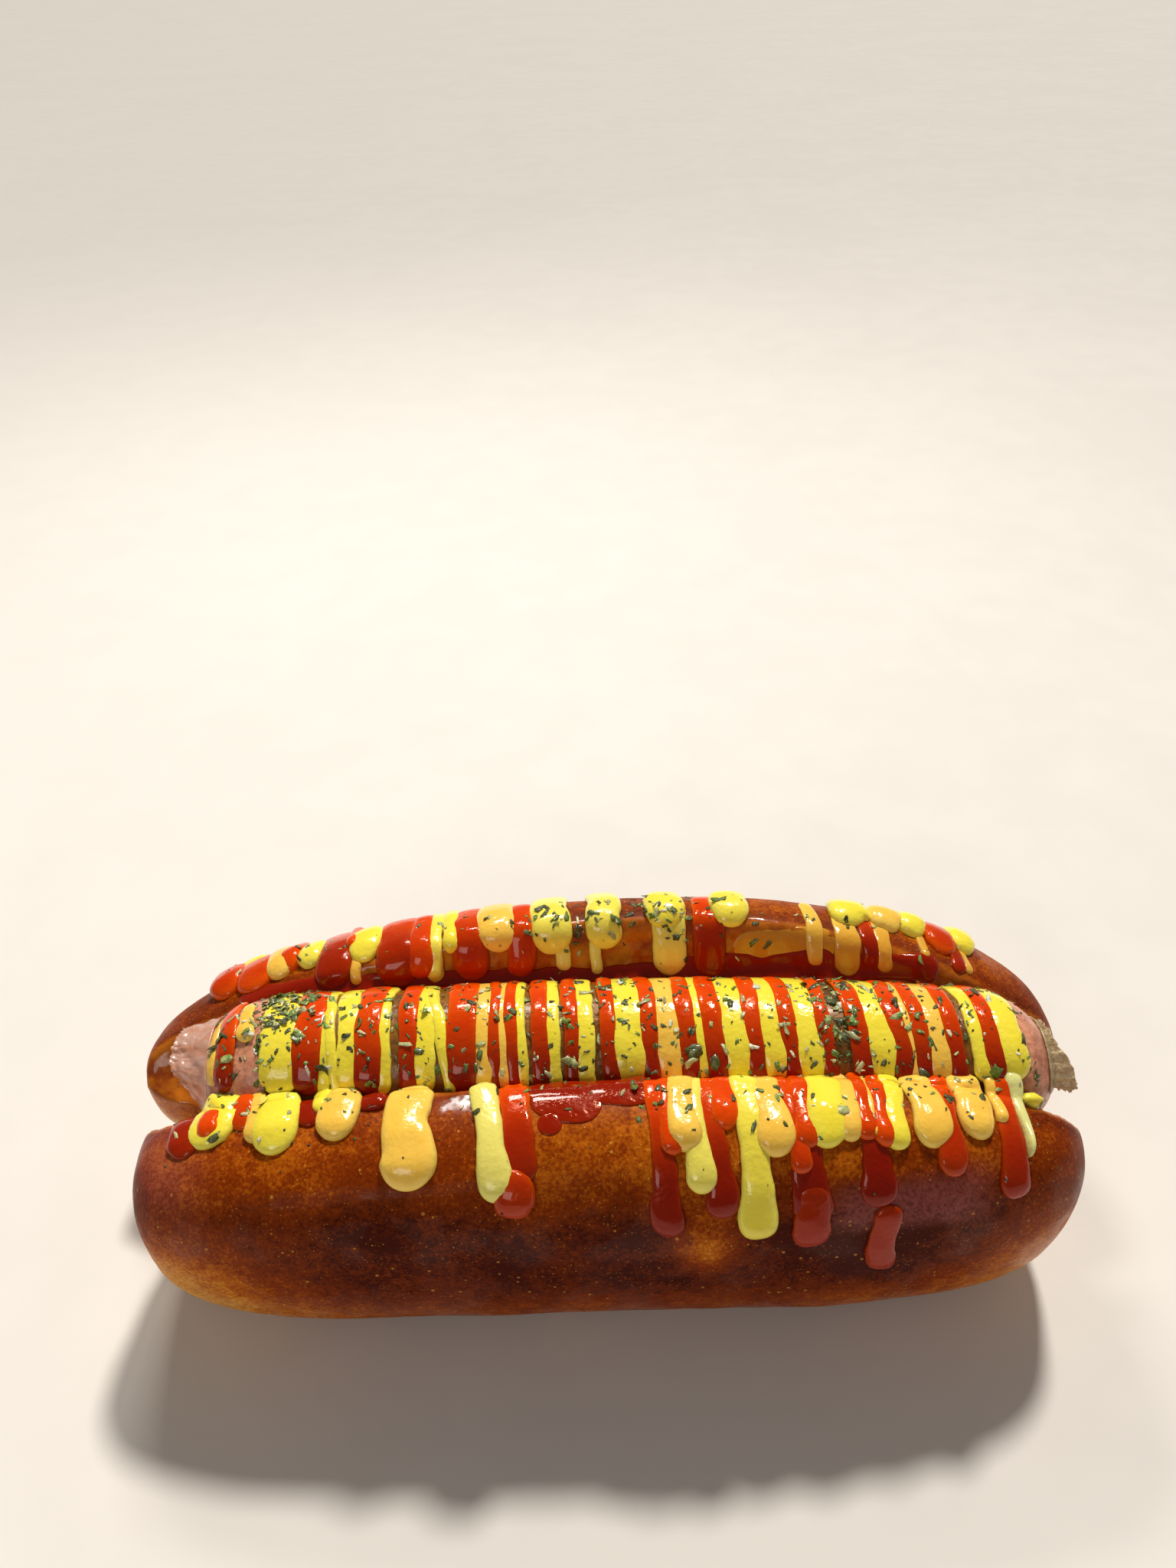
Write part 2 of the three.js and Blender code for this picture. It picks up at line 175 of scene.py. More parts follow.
# Runs over the back ridge and down the cut face, given the same way but with one place along X.
BACK_RUNS = (
    (KETCHUP, -79.6, 119.0, 8.0, 1.3, 0.2), (KETCHUP, -72.6, 118.0, 9.4, 1.1, 0.2),
    (MUSTARD, -74.6, 102.0, 6.6, 1.3, 0.0), (CHEESE, -67.4, 113.0, 6.6, 1.2, 0.0),
    (KETCHUP, -65.4, 110.0, 5.0, 1.3, 0.1), (MUSTARD, -61.2, 110.0, 5.6, 1.0, 0.1),
    (KETCHUP, -55.4, 120.0, 7.4, 0.8, 0.8), (MUSTARD, -48.6, 111.0, 7.0, 1.0, 0.0),
    (KETCHUP, -51.8, 106.0, 2.8, 1.1, 0.0), (CHEESE, -50.6, 119.0, 2.0, 0.5, 0.3),
    (KETCHUP, -42.2, 121.0, 8.0, 0.9, 0.7), (KETCHUP, -37.2, 117.0, 4.8, 1.0, 0.2),
    (MUSTARD, -34.4, 119.0, 3.4, 0.9, 0.2), (MUSTARD, -31.0, 110.0, 3.4, 1.0, 0.0),
    (KETCHUP, -27.2, 119.0, 7.0, 0.9, 0.5), (CHEESE, -21.6, 110.0, 7.6, 1.0, 0.0),
    (KETCHUP, -16.8, 118.0, 5.6, 0.9, 0.4), (MUSTARD, -10.6, 111.0, 7.6, 1.0, 0.2),
    (MUSTARD, -8.4, 116.0, 3.0, 0.6, 0.5), (MUSTARD, 0.2, 110.0, 6.6, 1.1, 0.2),
    (MUSTARD, -1.6, 118.0, 2.4, 0.7, 0.5), (MUSTARD, 13.2, 119.0, 6.6, 0.9, 0.3),
    (MUSTARD, 12.6, 106.0, 8.2, 1.1, 0.0), (KETCHUP, 21.2, 120.0, 6.0, 0.5, 0.8),
    (MUSTARD, 25.6, 106.0, 7.6, 1.3, 0.1), (CHEESE, 42.6, 117.0, 3.0, 0.6, 0.4),
    (CHEESE, 49.4, 121.0, 4.8, 0.35, 0.8), (MUSTARD, 50.6, 104.0, 8.6, 1.3, 0.0),
    (KETCHUP, 54.2, 119.0, 3.6, 0.35, 0.9), (CHEESE, 58.2, 105.0, 7.4, 1.2, 0.0),
    (CHEESE, 56.6, 120.0, 3.2, 0.4, 0.7), (MUSTARD, 64.0, 106.0, 6.4, 1.2, 0.0),
    (CHEESE, 65.2, 116.0, 1.8, 0.4, 0.6), (KETCHUP, 69.4, 113.0, 7.2, 0.8, 0.3),
    (KETCHUP, 72.0, 121.0, 3.0, 0.4, 0.8), (MUSTARD, 74.6, 111.0, 5.6, 1.1, 0.0),
    (CHEESE, 74.2, 121.0, 2.0, 0.4, 0.5),
)

# Pools and films of sauce along the dog: the sauce, the bed, both ends along X, the turn, the width, its
# share of the full thickness and the lift.
POOLS = (
    (KETCHUP, "front", -60.6, -51.0, 126.0, 4.6, 0.5, 0.0),
    (KETCHUP, "front", -46.0, -39.5, 123.8, 3.4, 0.6, 0.0),
    (KETCHUP, "front", -15.0, 8.6, 122.0, 5.4, 0.22, 0.0),
    (KETCHUP, "front", -14.0, -1.0, 124.6, 7.8, 0.14, 0.05),
    (KETCHUP, "front", -12.6, -8.2, 130.4, 3.4, 0.14, 0.0),
    (KETCHUP, "back", -76.0, -40.0, 119.5, 5.0, 0.5, -0.2),
    (KETCHUP, "back", -44.0, 12.0, 119.5, 5.0, 0.5, -0.2),
    (KETCHUP, "back", 14.0, 47.5, 118.0, 6.2, 0.5, -0.3),
    (KETCHUP, "back", 46.0, 68.0, 118.5, 5.4, 0.5, -0.3),
    (CHEESE, "back", 26.4, 47.0, 111.6, 7.6, 0.1, 0.0),
)

# Small blobs on the front crust or lip: the sauce, the place along X, the turn, the width, the length, the
# share of the full thickness, the lift and how far it darkens.
# The low ketchup drops darken partly as painted shade.
BLOBS = (
    (KETCHUP, -72.0, 131.0, 3.4, 4.2, 0.75, 1.3, 0.0),
    (KETCHUP, -16.6, 147.6, 5.8, 8.4, 1.0, 0.1, 0.6),
    (KETCHUP, 34.5, 156.0, 5.6, 13.0, 0.7, 0.1, 0.75),
    (KETCHUP, 47.2, 165.0, 4.8, 15.0, 0.65, 0.0, 0.75),
    (MUSTARD, 77.2, 128.6, 3.6, 2.6, 0.8, 0.0, 0.0),
)

# Legs that part from a stripe: the sauce, its places along X at the top and the bottom, the width.
LEGS = ((MUSTARD, -33.2, -28.6, 2.4), (MUSTARD, -53.0, -50.2, 2.2), (KETCHUP, -8.2, -5.6, 1.8))

# A short stripe, given like a leg and with the turn it ends at.
SHORT_STRIPE = (CHEESE, -69.0, -67.4, 2.8, 112.0)

# A pale run that narrows as it goes: the sauce, its places along X, the turn it ends at and its width.
PALE_RUN = (MUSTARD, 74.2, 73.6, 145.4, 3.6)


def srgb(red, green, blue):
    """A colour given as it is seen, 0 to 255, as the linear values that a material takes."""
    return tuple(
        share / 12.92 if share <= 0.04045 else ((share + 0.055) / 1.055) ** 2.4
        for share in (red / 255.0, green / 255.0, blue / 255.0)
    )


def size(name, description, default, low=0.0, high=1.0):
    """A length that a user may change, in metres."""
    return FloatProperty(
        name=name, description=description, default=default, min=low, max=high,
        subtype="DISTANCE", unit="LENGTH",
    )


def count(name, description, default):
    """A number of pieces that a user may change."""
    return IntProperty(name=name, description=description, default=default, min=0)


def turned_by(name, description, default):
    """An angle that a user may change."""
    return FloatProperty(name=name, description=description, default=default, subtype="ANGLE")


def strength(name, description, default):
    """The strength of a light that a user may change."""
    return FloatProperty(name=name, description=description, default=default, min=0.0)


def colour(name, description, seen):
    """A colour that a user may change."""
    return FloatVectorProperty(
        name=name, description=description, default=srgb(*seen), min=0.0, max=1.0, size=3, subtype="COLOR"
    )


class BunSettings(bpy.types.PropertyGroup):
    """Sizes and colours of the bun."""

    voxel: size("Mesh step", "Edge length of the bun's finished mesh", 0.00098, 0.0005, 0.01)
    lump: size("Lump height", "Height of the broad lumps in the crust", 0.0006)
    crumb_depth: size("Crumb depth", "Depth of the torn crumb on the cut faces", 0.0003)
    wrinkle: size("Wrinkle height", "Height of the wrinkles where the glaze has dried", 0.00035)
    # The painted light round the knob and on the paler lower ends takes the crust towards this colour.
    golden: colour("Golden crust", "Crust that has hardly browned", (222, 158, 62))
    amber: colour("Amber crust", "Crust between golden and brown", (184, 96, 12))
    brown: colour("Brown crust", "Most of the crust", (132, 50, 2))
    # The painted shade belt low on the sides also takes the crust towards this colour.
    dark: colour("Dark crust", "The darkest baked crust", (62, 6, 0))
    crumb: colour("Crumb", "The soft inside of the bun, wet with sauce", (186, 104, 18))
    # This crumb colour is used where the crumb's torn relief sinks.
    crumb_dark: colour("Soaked crumb", "Crumb soaked with glaze", (136, 54, 5))
    # Dried glaze on the front-left corner, and painted sheen on the wrinkled stretch of the front.
    glaze_and_sheen: colour("Dried glaze", "The dull purplish film of dried glaze", (146, 78, 74))


class SausageSettings(bpy.types.PropertyGroup):
    """Sizes and colours of the sausage and its casing."""

    radius: size("Radius", "Radius of the sausage", 0.0132, 0.004, 0.03)
    casing_thickness: size("Casing thickness", "Thickness of the gathered casing at the ends", 0.00022)
    skin: colour("Skin", "The bare skin at the ends", (224, 154, 120))
    skin_dark: colour("Skin in folds", "The skin where it is darker", (176, 108, 84))
    glazed: colour("Glazed skin", "The skin under a film of sauce and fat", (140, 88, 28))
    casing: colour("Casing", "The dry gathered casing", (212, 192, 150))
    casing_wet: colour("Wet casing", "The wet crinkled casing at the left end", (232, 190, 172))
    casing_dark: colour("Casing in folds", "The casing between its pleats", (152, 126, 90))


class SauceSettings(bpy.types.PropertyGroup):
    """Sizes and colours of the sauces."""

    stripe_thickness: size("Stripe thickness", "Thickness of the stripes over the sausage", 0.0008)
    run_thickness: size("Run thickness", "Thickness of the runs on the bun", 0.0016)
    sink: size("Sink", "How far each stripe's underside lies below the surface that carries it", 0.0005)
    ketchup: colour("Ketchup", "Ketchup where it is thin", (238, 94, 2))
    ketchup_deep: colour("Deep ketchup", "Ketchup where it is thick", (214, 60, 0))
    # The darker colour of thin or pooled ketchup, and also painted shade on the sausage's lower side and low
    # on the front.
    ketchup_dark_and_shaded: colour("Dark ketchup", "Ketchup that has run down and darkened", (124, 12, 0))
    mustard: colour("Mustard", "Mustard", (250, 236, 84))
    mustard_deep: colour("Deep mustard", "Mustard in its shallow folds", (242, 220, 58))
    pale: colour("Pale mustard", "Mustard let down with dressing, paler and greener", (222, 218, 138))
    cheese: colour("Cheese sauce", "Cheese sauce", (252, 214, 98))
    cheese_deep: colour("Deep cheese sauce", "Cheese sauce where it is thick", (244, 192, 72))
    cheese_film: colour("Cheese sauce film", "Cheese sauce thinned to a film over the crumb", (196, 128, 26))


class HerbSettings(bpy.types.PropertyGroup):
    """Sizes and colours of the dried herbs and onion."""

    length: size("Flake length", "Mean length of a flake", 0.00108, 0.0005, 0.01)
    thickness: size("Flake thickness", "Thickness of a flake", 0.00006)
    herb_count: count("Herb flakes", "Number of green flakes", 900)
    onion_count: count("Onion flakes", "Number of pale flakes", 290)
    pepper_count: count("Pepper", "Number of pepper grains", 150)
    green: colour("Green", "The greenest flakes", (108, 146, 44))
    olive: colour("Olive", "The brownest flakes", (82, 88, 28))
    straw: colour("Straw", "The pale flakes", (196, 194, 130))
    pepper: colour("Pepper", "Grains of pepper", (38, 28, 18))


class StageSettings(bpy.types.PropertyGroup):
    """The floor, the lights and the camera."""

    lens: FloatProperty(
        name="Lens", description="Focal length for a long side of 36 mm", default=27.03, min=1.0
    )
    eye: FloatVectorProperty(
        name="Eye", description="Where the camera stands, from the loaf's middle", subtype="XYZ_LENGTH",
        unit="LENGTH", default=(-0.0011635, -0.1496325, 0.2248407), size=3,
    )
    yaw: turned_by("Yaw", "Turn to the right", -0.005)
    pitch: turned_by("Pitch", "Turn downwards", 0.6601)
    roll: turned_by("Roll", "Tilt of the frame", 0.0321)
    key_power: strength("Key light", "Strength of the light behind", 3.1)
    box_power: strength("Softbox", "Power of the softbox over the food", 1.3)
    fill_power: strength("Fill light", "Power of the light in front", 1.5)
    sky: strength("Sky", "Strength of the light from all round", 0.16)
    floor: colour("Floor", "The pale floor", (226, 221, 214))


def closing(share, roundness):
    """The size left at a share of the way to an end, from 1 to 0 along a rounded corner."""
    return (1.0 - np.minimum(1.0, np.abs(share)) ** roundness) ** (1.0 / roundness)


def signed_power(value, power):
    """A power that keeps its sign."""
    return np.sign(value) * np.abs(value) ** power


def smoothstep(value, low, high):
    """A smooth rise from 0 at low to 1 at high."""
    share = np.clip((value - low) / (high - low), 0.0, 1.0)
    return share * share * (3.0 - 2.0 * share)


def crust_points(half, x, turn):
    """Points of one half's crust at places along X and turns about its own line."""
    to_right = x > half.crest

    def ends(name):
        return np.where(to_right, getattr(half.right, name), getattr(half.left, name))

    share = np.abs(x - half.crest) / np.abs(ends("x") - half.crest)
    high = (1.0 - ends("sag") * share**2) * closing(share, ends("top_round"))
    wide = closing(share, ends("end_round"))
    low = closing(share, ends("bottom_round"))
    roundness = np.where((np.cos(turn) < 0) & (np.sin(turn) < 0), INNER_ROUND, SECTION_ROUND)
    across = signed_power(np.cos(turn), 2.0 / roundness)
    up = signed_power(np.sin(turn), 2.0 / roundness)
    width = np.where(across > 0, half.outward, half.inward)
    height = np.where(up > 0, (half.top - WAIST) * high, (WAIST + FLOOR_CUT) * low)
    middle = half.tip + (half.middle - half.tip) * wide
    return np.stack([x, half.side * (middle + width * wide * across), WAIST + height * up], axis=1)


def base_points(x, turn):
    """Points of the thick floor of bread that joins the halves."""
    scale = closing(x / BASE_REACH, BASE_END_ROUND)
    across = signed_power(np.cos(turn), 2.0 / BASE_SECTION_ROUND)
    up = signed_power(np.sin(turn), 2.0 / BASE_SECTION_ROUND)
    middle = BASE_HEIGHT / 2.0 - FLOOR_CUT / 2.0
    rise = (BASE_HEIGHT + FLOOR_CUT) / 2.0
    return np.stack([x, BASE_WIDTH * scale * across, middle + rise * scale * up], axis=1)


def sausage_middle(x):
    """The height and side shift of the sausage's middle line."""
    along = np.clip(x, SAUSAGE_LEFT, SAUSAGE_RIGHT) / SAUSAGE_RIGHT
    side = np.where(along > 0, -SAUSAGE_SWING * along**2, 0.0)
    return side, SAUSAGE_HEIGHT - SAUSAGE_DROOP * along**2


def sausage_radius(x, radius):
    """The sausage's radius, which closes in a round cap at each end."""
    past = np.maximum(SAUSAGE_LEFT + SAUSAGE_CAP - x, x - (SAUSAGE_RIGHT - SAUSAGE_CAP))
    share = np.clip(past / SAUSAGE_CAP, 0.0, 1.0)
    return radius * np.sqrt(1.0 - share**2)


def sausage_points(x, wide, turn):
    """Points round the sausage's middle line, at a distance from it."""
    side, height = sausage_middle(x)
    return np.stack([x, side + wide * np.cos(turn), height + wide * np.sin(turn)], axis=1)


def wall_slopes(wall):
    """How far the front and the back wall of the cut lean, for each millimetre of height."""
    front = (FRONT_LIP[0] + wall) / (FRONT_LIP[1] - SAUSAGE_HEIGHT)
    back = (BACK_LIP[0] - wall) / (BACK_LIP[1] - SAUSAGE_HEIGHT)
    return front, back


def cut_points(x, turn, wall):
    """Points of the cut: a half round under the sausage, with a leaning wall on each side above it."""
    side, height = sausage_middle(x)
    front, back = wall_slopes(wall)
    across = np.cos(turn)
    up = np.sin(turn)
    square = np.maximum(np.abs(across), np.abs(up))
    rise = CUT_HEIGHT * up / square
    lean = np.where(across > 0, wall + back * rise, wall - front * rise)
    above = up > 0
    y = np.where(above, side + lean * across / square, side + wall * across)
    z = np.where(above, height + rise, height + wall * up)
    return np.stack([x, y, z], axis=1)


def cut_gap(points, wall):
    """How far points lie from the faces of the cut."""
    x, y, z = points.T
    side, height = sausage_middle(x)
    front, back = wall_slopes(wall)
    rise = z - height
    under = np.abs(np.hypot(y - side, rise) - wall)
    beside = np.minimum(np.abs(y - side - wall - back * rise), np.abs(y - side + wall - front * rise))
    return np.where(rise < 0, under, beside)


def ripple(points, wave, seed):
    """Smooth noise from about -1 to 1 at each point, with the given wavelength in millimetres."""
    offset = Vector((seed * 17.3, seed * 5.1, seed * 9.7))
    return np.array([noise.noise(Vector(point) / wave + offset) for point in points])


def ripples(points, waves):
    """Layers of smooth noise. Each is given by its height, its wavelength and its seed."""
    return sum(height * ripple(points, wave, seed) for height, wave, seed in waves)


def place(verts, points):
    """Moves vertices to points that are given in millimetres about the loaf's middle."""
    for vert, point in zip(verts, points):
        vert.co = (Vector(point) + SHIFT) * MM


def design_points(mesh):
    """The mesh's points in millimetres about the loaf's middle."""
    flat = np.empty(len(mesh.vertices) * 3)
    mesh.vertices.foreach_get("co", flat)
    return flat.reshape(-1, 3) / MM - np.array(SHIFT)


def with_places(verts):
    """The vertices of a round body about Z, how far along it each lies, from -1 to 1, and their turns."""
    where = np.array([vert.co for vert in verts])
    return verts, np.clip(where[:, 2], -1.0, 1.0), np.arctan2(where[:, 1], where[:, 0])


def add_ball(bm, rings, sides):
    """Adds a ball with its poles along the piece."""
    verts = bmesh.ops.create_uvsphere(bm, u_segments=sides, v_segments=rings, radius=1.0)["verts"]
    return with_places(verts)


def add_sleeve(bm, rings, sides, caps):
    """Makes an empty mesh a tube along the piece, with rings between its ends."""
    bmesh.ops.create_cone(bm, cap_ends=caps, segments=sides, radius1=1.0, radius2=1.0, depth=2.0)
    long_edges = [edge for edge in bm.edges if abs(edge.verts[0].co.z - edge.verts[1].co.z) > 1.0]
    bmesh.ops.subdivide_edges(bm, edges=long_edges, cuts=rings, use_grid_fill=True)
    return with_places(bm.verts[:])


def make_object(name, bm):
    """Turns a bmesh into an object with smooth faces."""
    mesh = bpy.data.meshes.new(name)
    for face in bm.faces:
        face.smooth = True
    bm.to_mesh(mesh)
    bm.free()
    obj = bpy.data.objects.new(name, mesh)
    bpy.context.scene.collection.objects.link(obj)
    return obj


def settle(obj):
    """Applies an object's modifiers to its mesh."""
    graph = bpy.context.evaluated_depsgraph_get()
    mesh = bpy.data.meshes.new_from_object(obj.evaluated_get(graph))
    obj.modifiers.clear()
    obj.data = mesh


def make_sheet(name, bm, thickness):
    """Turns a bmesh of thin sheets into an object and gives them their thickness."""
    obj = make_object(name, bm)
    solid_sheet = obj.modifiers.new("thickness", "SOLIDIFY")
    solid_sheet.thickness = thickness
    solid_sheet.offset = 0.0
    settle(obj)
    return obj


def write_attribute(mesh, name, values):
    """Stores one number for each vertex."""
    attribute = mesh.attributes.new(name, "FLOAT", "POINT")
    attribute.data.foreach_set("value", np.asarray(values, np.float32))


def dress(obj, material):
    """Gives a piece its material and slot, and fixes it to the body."""
    obj.data.materials.clear()
    obj.data.materials.append(material)
    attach(obj, BODY)


def need(name):
    """A piece that an earlier step made."""
    obj = bpy.data.objects.get(name)
    if obj is None:
        raise RuntimeError(f"make {name} first")
    return obj


# Node trees


def add_node(tree, kind, inputs=None, **settings):
    """Adds a node. An input that is given as a socket is linked, and any other is set."""
    made = tree.nodes.new(kind)
    for key, value in settings.items():
        setattr(made, key, value)
    for key, value in (inputs or {}).items():
        if isinstance(value, bpy.types.NodeSocket):
            tree.links.new(value, made.inputs[key])
        else:
            made.inputs[key].default_value = value
    return made


def math_node(tree, operation, first, second, clamp=False):
    """The result of one sum on two values."""
    made = add_node(tree, "ShaderNodeMath", {0: first, 1: second}, operation=operation, use_clamp=clamp)
    return made.outputs[0]


def scaled(tree, value, scale, shift):
    """A value times a scale, moved by a shift."""
    made = add_node(tree, "ShaderNodeMath", {0: value, 1: scale, 2: shift}, operation="MULTIPLY_ADD")
    return made.outputs[0]


def darkened(shade, share):
    """A colour with only a share of its light."""
    return tuple(share * part for part in shade)


def solid(shade):
    """A colour with its alpha."""
    return (*shade[:3], 1.0)


def mix_colours(tree, factor, first, second):
    """Two colours mixed by a factor. A colour is a socket or three numbers."""
    ends = [end if isinstance(end, bpy.types.NodeSocket) else solid(end) for end in (first, second)]
    made = add_node(tree, "ShaderNodeMix", {0: factor, 6: ends[0], 7: ends[1]}, data_type="RGBA")
    return made.outputs[2]


def ramp(tree, factor, stops):
    """A colour ramp over stops of a position and a colour."""
    made = add_node(tree, "ShaderNodeValToRGB", {0: factor})
    elements = made.color_ramp.elements
    elements[0].position, elements[0].color = stops[0][0], solid(stops[0][1])
    elements[1].position, elements[1].color = stops[-1][0], solid(stops[-1][1])
    for position, shade in stops[1:-1]:
        elements.new(position).color = solid(shade)
    return made.outputs[0]


def grey_ramp(tree, factor, low, high, first=0.0, last=1.0):
    """A value that rises from first to last while the factor goes from low to high."""
    made = add_node(
        tree,
        "ShaderNodeMapRange",
        {"Value": factor, "From Min": low, "From Max": high, "To Min": first, "To Max": last},
        interpolation_type="SMOOTHSTEP",
    )
    return made.outputs[0]


def noise_value(tree, vector, scale, detail, roughness=0.5):
    """Smooth noise. The scale is in waves a metre."""
    made = add_node(
        tree,
        "ShaderNodeTexNoise",
        {"Vector": vector, "Scale": scale, "Detail": detail, "Roughness": roughness},
    )
    return made.outputs["Fac"]


def new_group(name, inputs, outputs):
    """An empty node group with its sockets, and its input and output nodes."""
    group = bpy.data.node_groups.new(name, "ShaderNodeTree")
    for socket, kind, default in inputs:
        made = group.interface.new_socket(socket, in_out="INPUT", socket_type=kind)
        if default is not None:
            made.default_value = default
    for socket, kind in outputs:
        group.interface.new_socket(socket, in_out="OUTPUT", socket_type=kind)
    entry = group.nodes.new("NodeGroupInput")
    leave = group.nodes.new("NodeGroupOutput")
    return group, entry, leave


def mottle_group():
    """Soft patches broken up by finer ones, as browning, fat and mixing leave them."""
    found = bpy.data.node_groups.get("Mottle")
    if found:
        return found
    group, entry, leave = new_group(
        "Mottle",
        (
            ("Vector", "NodeSocketVector", None),
            ("Scale", "NodeSocketFloat", 60.0),
            ("Fine", "NodeSocketFloat", 0.35),
        ),
        (("Mask", "NodeSocketFloat"),),
    )
    broad = noise_value(group, entry.outputs["Vector"], entry.outputs["Scale"], 3.0)
    fine_scale = math_node(group, "MULTIPLY", entry.outputs["Scale"], 5.3)
    fine = noise_value(group, entry.outputs["Vector"], fine_scale, 2.0)
    shares = {0: entry.outputs["Fine"], 2: broad, 3: fine}
    mixed = add_node(group, "ShaderNodeMix", shares, data_type="FLOAT")
    mask = grey_ramp(group, mixed.outputs[0], 0.36, 0.64)
    group.links.new(mask, leave.inputs["Mask"])
    return group


def specks_group():
    """Sparse round specks of uneven size."""
    found = bpy.data.node_groups.get("Specks")
    if found:
        return found
    group, entry, leave = new_group(
        "Specks",
        (
            ("Vector", "NodeSocketVector", None),
            ("Scale", "NodeSocketFloat", 300.0),
            ("Share", "NodeSocketFloat", 0.4),
        ),
        (("Mask", "NodeSocketFloat"),),
    )
    cells = add_node(
        group, "ShaderNodeTexVoronoi", {"Vector": entry.outputs["Vector"], "Scale": entry.outputs["Scale"]}
    )
    chance = add_node(group, "ShaderNodeSeparateColor", {0: cells.outputs["Color"]})
    shown = math_node(group, "LESS_THAN", chance.outputs[0], entry.outputs["Share"])
    reach = scaled(group, chance.outputs[1], 0.16, 0.08)
    near = math_node(group, "SUBTRACT", reach, cells.outputs["Distance"])
    edge = math_node(group, "MULTIPLY", near, 22.0, clamp=True)
    mask = math_node(group, "MULTIPLY", edge, shown)
    group.links.new(mask, leave.inputs["Mask"])
    return group


def film_group():
    """A wet film: where it lies thick, and the slow waves in its face."""
    found = bpy.data.node_groups.get("Film")
    if found:
        return found
    group, entry, leave = new_group(
        "Film",
        (("Vector", "NodeSocketVector", None), ("Scale", "NodeSocketFloat", 150.0)),
        (("Wet", "NodeSocketFloat"), ("Height", "NodeSocketFloat")),
    )
    broad = noise_value(group, entry.outputs["Vector"], entry.outputs["Scale"], 2.0)
    wet = grey_ramp(group, broad, 0.4, 0.6)
    wave_scale = math_node(group, "MULTIPLY", entry.outputs["Scale"], 3.1)
    waves = noise_value(group, entry.outputs["Vector"], wave_scale, 1.0)
    glint_scale = math_node(group, "MULTIPLY", entry.outputs["Scale"], 7.0)
    glints = noise_value(group, entry.outputs["Vector"], glint_scale, 1.0)
    height = math_node(group, "ADD", waves, math_node(group, "MULTIPLY", glints, 0.55))
    group.links.new(wet, leave.inputs["Wet"])
    group.links.new(height, leave.inputs["Height"])
    return group


def use_group(tree, group, **values):
    """Places a shared group in a material with its own values."""
    return add_node(tree, "ShaderNodeGroup", values, node_tree=group).outputs


def start_material(name, **settings):
    """An empty material: its tree, its shader and the object's coordinates."""
    material = bpy.data.materials.new(name)
    material.use_nodes = True
    tree = material.node_tree
    tree.nodes.clear()
    shader = tree.nodes.new("ShaderNodeBsdfPrincipled")
    finish = tree.nodes.new("ShaderNodeOutputMaterial")
    tree.links.new(shader.outputs[0], finish.inputs[0])
    for key, value in settings.items():
        shader.inputs[key.replace("_", " ").title().replace("Ior", "IOR")].default_value = value
    where = tree.nodes.new("ShaderNodeTexCoord").outputs["Object"]
    return material, tree, shader, where


def attribute_value(tree, name):
    """A number stored on the mesh."""
    return add_node(tree, "ShaderNodeAttribute", attribute_name=name).outputs["Fac"]


def add_bump(tree, shader, height, distance):
    """Feeds a height to the shader's normal. The distance is the relief's depth in metres."""
    bump = add_node(tree, "ShaderNodeBump", {"Height": height, "Distance": distance, "Strength": 1.0})
    tree.links.new(bump.outputs[0], shader.inputs["Normal"])


